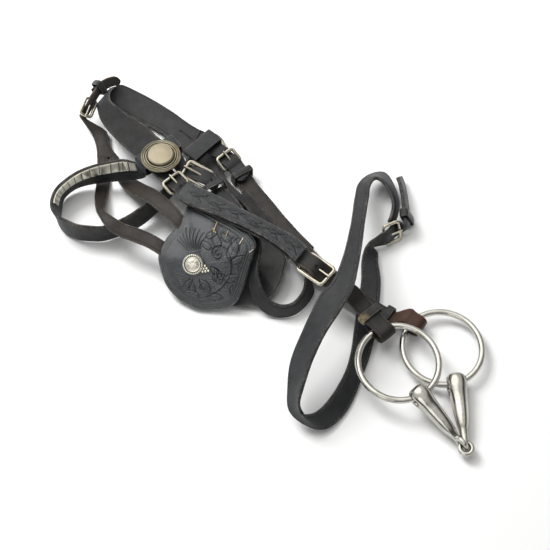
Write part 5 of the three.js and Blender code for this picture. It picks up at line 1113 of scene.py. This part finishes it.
for k, tag in (("near_blinker", "near"), ("far_blinker", "far")):
    b = BLINKERS[k]
    N = 440
    E, per = smooth_closed(b["outline"], N)
    M, nz_ = A3(b["middle"]), unit(A3(b["normal"]))
    x, y, z = basis(nz_)
    TH = 3.2
    reach = np.linalg.norm(E - M, axis=1)
    rs = np.concatenate([np.linspace(0.012, 0.94, 74), 1 - np.array([2.0, 1.6, 1.2, 0.9, 0.6, 0.35, 0.15, 0.05]) / 40.0, [1.0]])
    sh = Shape()
    top = []
    R2 = rs[:, None] * np.ones((1, N))
    base = M + (E - M)[None] * R2[..., None]
    d = (1 - R2) * reach[None]
    f = np.sqrt(np.clip(1 - np.clip(1 - d / 1.6, 0, 1) ** 2, 0, 1))
    hgt = b["height"] * (1 - R2**2.4)
    Aq = (base - M) @ x
    Bq = (base - M) @ y
    H, C = near_tooling(Aq, Bq) if tag == "near" else near_tooling(Aq * 0.95, -Bq * 0.95)
    H, C = H * 1.55, C * 0.9
    inside = np.clip((d - 6.6) / 1.0, 0, 1)
    H *= inside
    C *= inside
    # two tooled rings inside the rim; C marks them and the tooling for painted shade
    for dl, dep in ((3.9, 0.42), (5.7, 0.36)):
        g = np.exp(-(((d - dl) / 0.42) ** 2))
        H -= dep * g
        C += g
    H -= 0.25 * np.exp(-(((d - 2.3) / 0.5) ** 2))
    H += 0.10 * np.sin(Aq * 0.33 + 1.0) * np.sin(Bq * 0.27)
    topP = base + nz_ * (hgt + f * (TH / 2) + H * f)[..., None]
    wear = np.exp(-d / 1.0)
    rows = len(rs)
    V = np.vstack([[M + nz_ * (b["height"] + TH / 2)], topP.reshape(-1, 3)])
    F = [grid_faces(rows, N, False, True) + 1, np.stack([np.zeros(N, int), 1 + np.arange(N), 1 + (np.arange(N) + 1) % N], 1)]
    edge_ids = 1 + (rows - 1) * N + np.arange(N)
    # back face, coarser, meeting the front at the rim
    rb = np.concatenate([[0.06], np.linspace(0.18, 0.94, 12), 1 - np.array([1.4, 0.8, 0.3]) / 40.0])[::-1]
    R3 = rb[:, None] * np.ones((1, N))
    base3 = M + (E - M)[None] * R3[..., None]
    d3 = (1 - R3) * reach[None]
    f3 = np.sqrt(np.clip(1 - np.clip(1 - d3 / 1.6, 0, 1) ** 2, 0, 1))
    botP = base3 + nz_ * (b["height"] * (1 - R3**2.4) - f3 * (TH / 2))[..., None]
    nb = len(V)
    V = np.vstack([V, botP.reshape(-1, 3), [M + nz_ * (b["height"] - TH / 2)]])
    rbn = len(rb)
    F.append(grid_faces(rbn, N, False, True) + nb)
    j = np.arange(N)
    F.append(np.stack([edge_ids, edge_ids[(j + 1) % N], nb + (j + 1) % N, nb + j], 1))
    last_ = nb + rbn * N
    F.append(np.stack([np.full(N, last_), nb + (rbn - 1) * N + (j + 1) % N, nb + (rbn - 1) * N + j], 1))
    side = np.concatenate([np.ones(1 + rows * N), -np.ones(rbn * N + 1)])
    wr = np.concatenate([[0], wear.ravel(), np.exp(-d3 / 1.0).ravel(), [0]])
    cv = np.concatenate([[0], C.ravel(), np.zeros(rbn * N + 1)])
    stip = np.clip((Aq + 6 - 0.25 * np.abs(Bq)) / 5.0, 0, 1) * inside * np.clip(1 - np.hypot(Aq, Bq) ** 0 * np.exp(-((np.hypot(Aq, Bq) / 10.5) ** 6)), 0, 1) * (np.abs(H) < 0.16)
    sh.add(V, F, wear=wr, carve=cv, side=side, stip=np.concatenate([[0], stip.ravel(), np.zeros(rbn * N + 1)]))
    make(tag + "_blinker_panel", sh, BLINKER, "bridle", [k])
    # stitch row along the rim
    rr = 1 - 2.3 / reach
    P = M + (E - M) * rr[:, None] + nz_ * (b["height"] * (1 - rr**2.4) + TH / 2 - 0.2)[:, None]
    P = np.vstack([P, P[:1]])
    stitches(STITCH.setdefault("dark", Shape()), P, np.repeat(nz_[None], len(P), 0), pitch=3.0, rad=0.25)

# ---------------------------------------------------------------- conchos
for k, tag in (("near_concho", "near"), ("far_concho", "far")):
    o, nrm = DISCS[k]
    sh = Shape()
    petals = lambda r, g: 0.16 * np.clip(1 - r / 5.6, 0, 1) * np.cos(8 * g) * (r > 0.8) * np.minimum(r / 2, 1)
    prof = [[0, 0], [8.0, 0], [8.2, 0.4], [8.0, 0.85], [6.4, 0.8], [6.0, 1.35], [5.5, 1.5], [5.1, 1.2], [4.6, 1.35], [3.8, 1.7], [3.0, 1.95], [2.2, 2.05], [1.5, 2.0], [1.2, 2.25], [0.6, 2.3], [0, 2.3]]
    lathe(sh, rounded(prof, 0.18, 2), o, nrm, 96, wobble=petals)
    x, y, z = basis(nrm)
    g = np.linspace(0, 2 * math.pi, 30, endpoint=False)
    balls(sh, [A3(o) + (x * math.cos(q) + y * math.sin(q)) * 7.2 + z * 1.15 for q in g], 0.78, nrm, 1.0, 10, 6)
    if tag == "near":
        o2, n2 = A3(DISCS["near_concho_drop"][0]), unit(A3(DISCS["near_concho_drop"][1]))
        way = unit((o2 - A3(o)) - n2 * ((o2 - A3(o)) @ n2))
        across = np.cross(n2, way)
        for row, (dist, cnt) in enumerate(((-1.9, 3), (0.2, 2), (2.2, 1))):
            for q in range(cnt):
                balls(sh, [o2 + way * dist + across * (q - (cnt - 1) / 2) * 2.35 - n2 * 0.35], 1.25, n2, 1.0, 12, 7)
    make(tag + "_concho_disc", sh, SILVER, "bridle", [k])

# ---------------------------------------------------------------- buckles
for k in BUCKLE_NAMES:
    b = BUCKLES[k]
    L, Wd, f = b["L"], b["W"], b["f"]
    r, h = 2.6, Wd / 2
    pts = []
    for cx, cy, g0 in ((L - r, h - r, 0), (r, h - r, 90), (r, -h + r, 180), (L - r, -h + r, 270)):
        for q in range(7):
            g = math.radians(g0 + q * 15)
            pts.append((cx + r * math.cos(g), cy + r * math.sin(g), 0))
    P = np.array(pts + pts[:1])
    Lc = np.concatenate([[0], np.cumsum(np.linalg.norm(np.diff(P, axis=0), axis=1))])
    u = np.linspace(0, Lc[-1], 150, endpoint=False)
    P = np.stack([np.interp(u, Lc, P[:, i]) for i in range(3)], 1)
    heel = np.exp(-((P[:, 0] / 1.2) ** 2))
    rad = 1.42 - 0.22 * heel
    sh = Shape()
    tube(sh, local(f, P), rad, 16, closed=True)
    make("frame_" + k, sh, BUCKLE, "bridle", ["buckle_" + k])
    top_ = 1.3 + 0.85 + 0.35
    P = dens(np.hstack([[[1.95, 0, 1.0], [L * 0.3, 0, top_ * 0.75], [L * 0.62, 0, top_ * 1.02], [L - 0.6, 0, top_], [L + 1.0, 0, top_ - 0.05], [L + 1.4, 0, top_ - 0.1]], np.zeros((6, 3))]), 8)[:, :3]
    sh = Shape()
    tube(sh, local(f, P), np.linspace(0.98, 0.72, len(P)), 12)
    g = np.linspace(0, 2 * math.pi, 40, endpoint=False)
    for off in (-0.65, 0.65):
        ringp = np.stack([2.08 * np.cos(g), off + 0 * g, 2.08 * np.sin(g)], 1)
        tube(sh, local(f, ringp), 0.42, 8, closed=True, flat=1.0, up=f[2])
    hub = rounded([[1.68, -1.25], [2.45, -1.25], [2.45, 1.25], [1.68, 1.25]], 0.3)
    hub = np.vstack([hub, hub[:1]])[:-1]
    gg = np.linspace(0, 2 * math.pi, 36, endpoint=False)
    V = np.stack([np.stack([hub[:, 0] * math.cos(q), hub[:, 1], hub[:, 0] * math.sin(q)], 1) for q in gg])
    sh.add(local(f, V.reshape(-1, 3)), [grid_faces(36, len(hub), True, True)])
    make("prong_" + k, sh, BUCKLE, "tongue_" + k, ["tongue_" + k])

# ---------------------------------------------------------------- bit
for nm, C in (("near_ring", C1), ("far_ring", C2)):
    sh = Shape()
    g = np.linspace(0, 2 * math.pi, 220, endpoint=False)
    P = A3(C) + np.stack([30.5 * np.cos(g), 30.5 * np.sin(g), 0 * g], 1)
    tube(sh, P, 2.5, 24, closed=True, up=(0, 0, 1))
    make(nm + "_loose", sh, NICKEL, nm, [nm])


def bake(o):
    dg = bpy.context.evaluated_depsgraph_get()
    me = bpy.data.meshes.new_from_object(o.evaluated_get(dg), depsgraph=dg)
    old = o.data
    o.modifiers.clear()
    o.data = me
    me.polygons.foreach_set("use_smooth", [True] * len(me.polygons))


def arm(nm, butt, link, ringC, upright):
    H, J = A3(butt), A3(link)
    x = unit(J - H)
    y = unit(np.cross([0, 0, 1], x))
    z = np.cross(x, y)
    L = np.linalg.norm(J - H)
    eyeX = L - 4.6 if upright else L
    neck = eyeX - 4.6
    ctrl = np.array([[0, -7.7], [2.6, -7.6], [4.7, -7.1], [6.6, -5.7], [7.7, -3.4], [8.2, -0.4], [8.15, 2.4], [7.6, 6.2], [6.8, 11], [6.2, 18], [5.5, 26], [4.5, L - 18], [3.4, L - 14], [2.7, neck - 1.4], [2.5, neck + 0.4], [0, neck + 0.9]])
    prof = dens(np.hstack([ctrl, np.zeros((len(ctrl), 4))]), 5)[:, :2]
    prof[:, 0] = np.maximum(prof[:, 0], 0)
    prof[0, 0] = prof[-1, 0] = 0
    keep = (prof[:, 0] > 0.15) | (np.arange(len(prof)) == 0) | (np.arange(len(prof)) == len(prof) - 1)
    prof = prof[keep]
    sh = Shape()
    lathe(sh, prof, H, x, 64)
    g = np.linspace(0, 2 * math.pi, 64, endpoint=False)
    if upright:
        P = H + x * (eyeX + 4.6 * np.cos(g))[:, None] + z * (4.6 * np.sin(g))[:, None]
        tube(sh, P, 1.95, 16, closed=True, up=y)
    else:
        xx, yy = unit(A3([x[0], x[1], 0])), unit(A3([y[0], y[1], 0]))
        P = J + xx * (4.6 * np.cos(g))[:, None] + yy * (4.6 * np.sin(g))[:, None]
        tube(sh, P, 1.95, 16, closed=True, up=(0, 0, 1))
    o = make(nm + "_arm", sh, NICKEL, nm, [nm])
    m = o.modifiers.new("weld", "REMESH")
    m.mode = "VOXEL"
    m.voxel_size = 0.00042
    s = o.modifiers.new("soft", "SMOOTH")
    s.factor = 0.5
    s.iterations = 5
    bake(o)
    # the hole the ring slides through, flared so that the arm can swing
    radial = H - A3(ringC)
    along = unit(A3([-radial[1], radial[0], 0]))
    for a in (-28, -14, 0, 14, 28):
        ca, sa = math.cos(math.radians(a)), math.sin(math.radians(a))
        d = A3([along[0] * ca - along[1] * sa, along[0] * sa + along[1] * ca, 0])
        ch = Shape()
        tube(ch, [H - d * 16, H - d * 5, H + d * 5, H + d * 16], 3.5, 28, up=(0, 0, 1))
        c_ = make("cutter", ch, NICKEL, nm)
        bm = o.modifiers.new("hole", "BOOLEAN")
        bm.operation = "DIFFERENCE"
        bm.object = c_
        try:
            bm.solver = "MANIFOLD"
        except TypeError:
            bm.solver = "EXACT"
        bake(o)
        me = c_.data
        bpy.data.objects.remove(c_)
        bpy.data.meshes.remove(me)
        PIECES.pop("cutter", None)
    if not o.data.materials:
        o.data.materials.append(NICKEL)
    return o


def seen(u, v):
    """The first point met along the sight line through a place in the view, with the side towards the viewer."""
    fwd, right, up = A3([0, 0.4695, -0.8829]), A3([1, 0, 0]), A3([0, 0.8829, 0.4695])
    d = unit(fwd * 1054.0 + right * (u - 275.0) - up * (v - 275.0))
    dg = bpy.context.evaluated_depsgraph_get()
    ok, loc, nrm, _, _, _ = bpy.context.scene.ray_cast(dg, Vector((EYE + SHIFT) * 0.001), Vector(d))
    return (A3(loc) * 1000 - SHIFT, d) if ok else (None, d)


for (u0, v0), (u1, v1), rd in (((217, 222), (213.5, 232), 0.42), ((213, 228), (216, 233), 0.34), ((243, 238), (239.5, 244), 0.36), ((253, 249.5), (249.5, 252.5), 0.34), ((228, 231), (226, 236), 0.3)):
    pts = []
    for q in (0, 0.5, 1):
        p_, d_ = seen(u0 + (u1 - u0) * q, v0 + (v1 - v0) * q)
        if p_ is not None:
            pts.append(p_ - d_ * (0.15 + 0.5 * math.sin(math.pi * q)))
    if len(pts) == 3 and np.linalg.norm(pts[0] - pts[2]) < 14:
        pp = np.array(pts)
        pp = dens(np.hstack([pp, np.zeros((3, 3))]), 6)[:, :3]
        tube(STITCH.setdefault("light", Shape()), pp, rd, 8, shade=0.2 if v0 < 234 else 1.0)

arm("near_mouthpiece", H1, JN, C1, True)
arm("far_mouthpiece", H2, J, C2, False)

for key, mat_ in (("dark", THREAD), ("light", THREAD_LIGHT)):
    if key in STITCH and STITCH[key].n:
        make("stitching_" + key, STITCH[key], mat_, "bridle", recalc=False)

# ---------------------------------------------------------------- floor, light, camera
fm = bpy.data.materials.new("floor_white")
fm.use_nodes = True
fp = fm.node_tree.nodes["Principled BSDF"]
fp.inputs["Base Color"].default_value = (0.93, 0.93, 0.93, 1)
fp.inputs["Roughness"].default_value = 0.9
fp.inputs["Specular IOR Level"].default_value = 0.1
me = bpy.data.meshes.new("floor")
me.from_pydata([(-3, -3, -0.0002), (3, -3, -0.0002), (3, 3, -0.0002), (-3, 3, -0.0002)], [], [(0, 1, 2, 3)])
floor = bpy.data.objects.new("floor", me)
bpy.context.scene.collection.objects.link(floor)
me.materials.append(fm)

world = bpy.data.worlds.new("studio")
bpy.context.scene.world = world
world.use_nodes = True
wt = world.node_tree
wt.nodes.clear()
wo = wt.nodes.new("ShaderNodeOutputWorld")
bg = wt.nodes.new("ShaderNodeBackground")
wt.links.new(bg.outputs[0], wo.inputs[0])
tc = wt.nodes.new("ShaderNodeTexCoord")
sep = wt.nodes.new("ShaderNodeSeparateXYZ")
wt.links.new(tc.outputs["Generated"], sep.inputs[0])
rp = wt.nodes.new("ShaderNodeValToRGB")
cr = rp.color_ramp
for p_, v_ in ((0.02, 0.30), (0.18, 0.20), (0.42, 0.55), (0.70, 0.95), (0.95, 1.0)):
    if p_ in (0.02, 0.95):
        e = cr.elements[0 if p_ == 0.02 else -1]
        e.position = p_
    else:
        e = cr.elements.new(p_)
    e.color = (v_, v_, v_ * 0.99, 1)
wt.links.new(sep.outputs["Z"], rp.inputs[0])
wt.links.new(rp.outputs[0], bg.inputs["Color"])
bg.inputs["Strength"].default_value = 0.30
lp = wt.nodes.new("ShaderNodeLightPath")
shiny = wt.nodes.new("ShaderNodeBackground")
rp2 = wt.nodes.new("ShaderNodeValToRGB")
c2 = rp2.color_ramp
for i_, (p_, v_) in enumerate(((0.0, 0.02), (0.14, 0.035), (0.26, 0.26), (0.40, 0.30), (0.47, 0.03), (0.60, 0.06), (0.70, 0.34), (0.88, 0.42), (0.945, 1.0))):
    if i_ in (0, 8):
        e = c2.elements[0 if i_ == 0 else -1]
        e.position = p_
    else:
        e = c2.elements.new(p_)
    e.color = (v_, v_ * 0.99, v_ * 0.97, 1)
ang = wt.nodes.new("ShaderNodeVectorMath")
ang.operation = "DOT_PRODUCT"
nrm_ = wt.nodes.new("ShaderNodeVectorMath")
nrm_.operation = "NORMALIZE"
wt.links.new(tc.outputs["Generated"], nrm_.inputs[0])
wt.links.new(nrm_.outputs[0], ang.inputs[0])
ang.inputs[1].default_value = (-0.42, 0.40, 0.81)
rem = wt.nodes.new("ShaderNodeMapRange")
rem.inputs["From Min"].default_value = -1
rem.inputs["From Max"].default_value = 1
wt.links.new(ang.outputs["Value"], rem.inputs["Value"])
wt.links.new(rem.outputs[0], rp2.inputs[0])
wt.links.new(rp2.outputs[0], shiny.inputs["Color"])
shiny.inputs["Strength"].default_value = 2.3
white = wt.nodes.new("ShaderNodeBackground")
white.inputs["Strength"].default_value = 1.0
m1 = wt.nodes.new("ShaderNodeMixShader")
m2 = wt.nodes.new("ShaderNodeMixShader")
wt.links.new(lp.outputs["Is Glossy Ray"], m1.inputs[0])
wt.links.new(bg.outputs[0], m1.inputs[1])
wt.links.new(shiny.outputs[0], m1.inputs[2])
wt.links.new(lp.outputs["Is Camera Ray"], m2.inputs[0])
wt.links.new(m1.outputs[0], m2.inputs[1])
wt.links.new(white.outputs[0], m2.inputs[2])
wt.links.new(m2.outputs[0], wo.inputs[0])


def area(name, loc, target, size, power, colour=(1, 1, 1), sy=None, shiny_=True):
    L = bpy.data.lights.new(name, "AREA")
    L.energy = power
    L.size = size
    if sy:
        L.shape = "RECTANGLE"
        L.size_y = sy
    L.color = colour
    o = bpy.data.objects.new(name, L)
    o.location = loc
    o.rotation_mode = "QUATERNION"
    o.rotation_quaternion = (Vector(target) - Vector(loc)).to_track_quat("-Z", "Y")
    bpy.context.scene.collection.objects.link(o)
    o.visible_glossy = shiny_
    return o


area("key", (-0.70, 0.62, 1.05), (0.0, 0.0, 0.0), 0.60, 19.5, shiny_=False)
area("top", (-0.20, 0.30, 1.45), (0, 0, 0), 1.0, 9.0, (1.0, 0.995, 0.98), shiny_=False)
area("front", (-0.35, -1.15, 0.75), (0, 0, 0.02), 0.7, 2.0)

cam = bpy.data.cameras.new("camera")
cam.sensor_width = 36.0
cam.lens = 1054.0 / 550.0 * 36.0
cam.clip_start = 0.01
co = bpy.data.objects.new("camera", cam)
co.location = Vector((EYE + SHIFT) * 0.001)
co.rotation_mode = "QUATERNION"
co.rotation_quaternion = Vector((0, 0.4695, -0.8829)).to_track_quat("-Z", "Y")
bpy.context.scene.collection.objects.link(co)
sc = bpy.context.scene
sc.camera = co
sc.view_settings.view_transform = "Standard"
sc.view_settings.look = "None"
sc.view_settings.exposure = 0.0
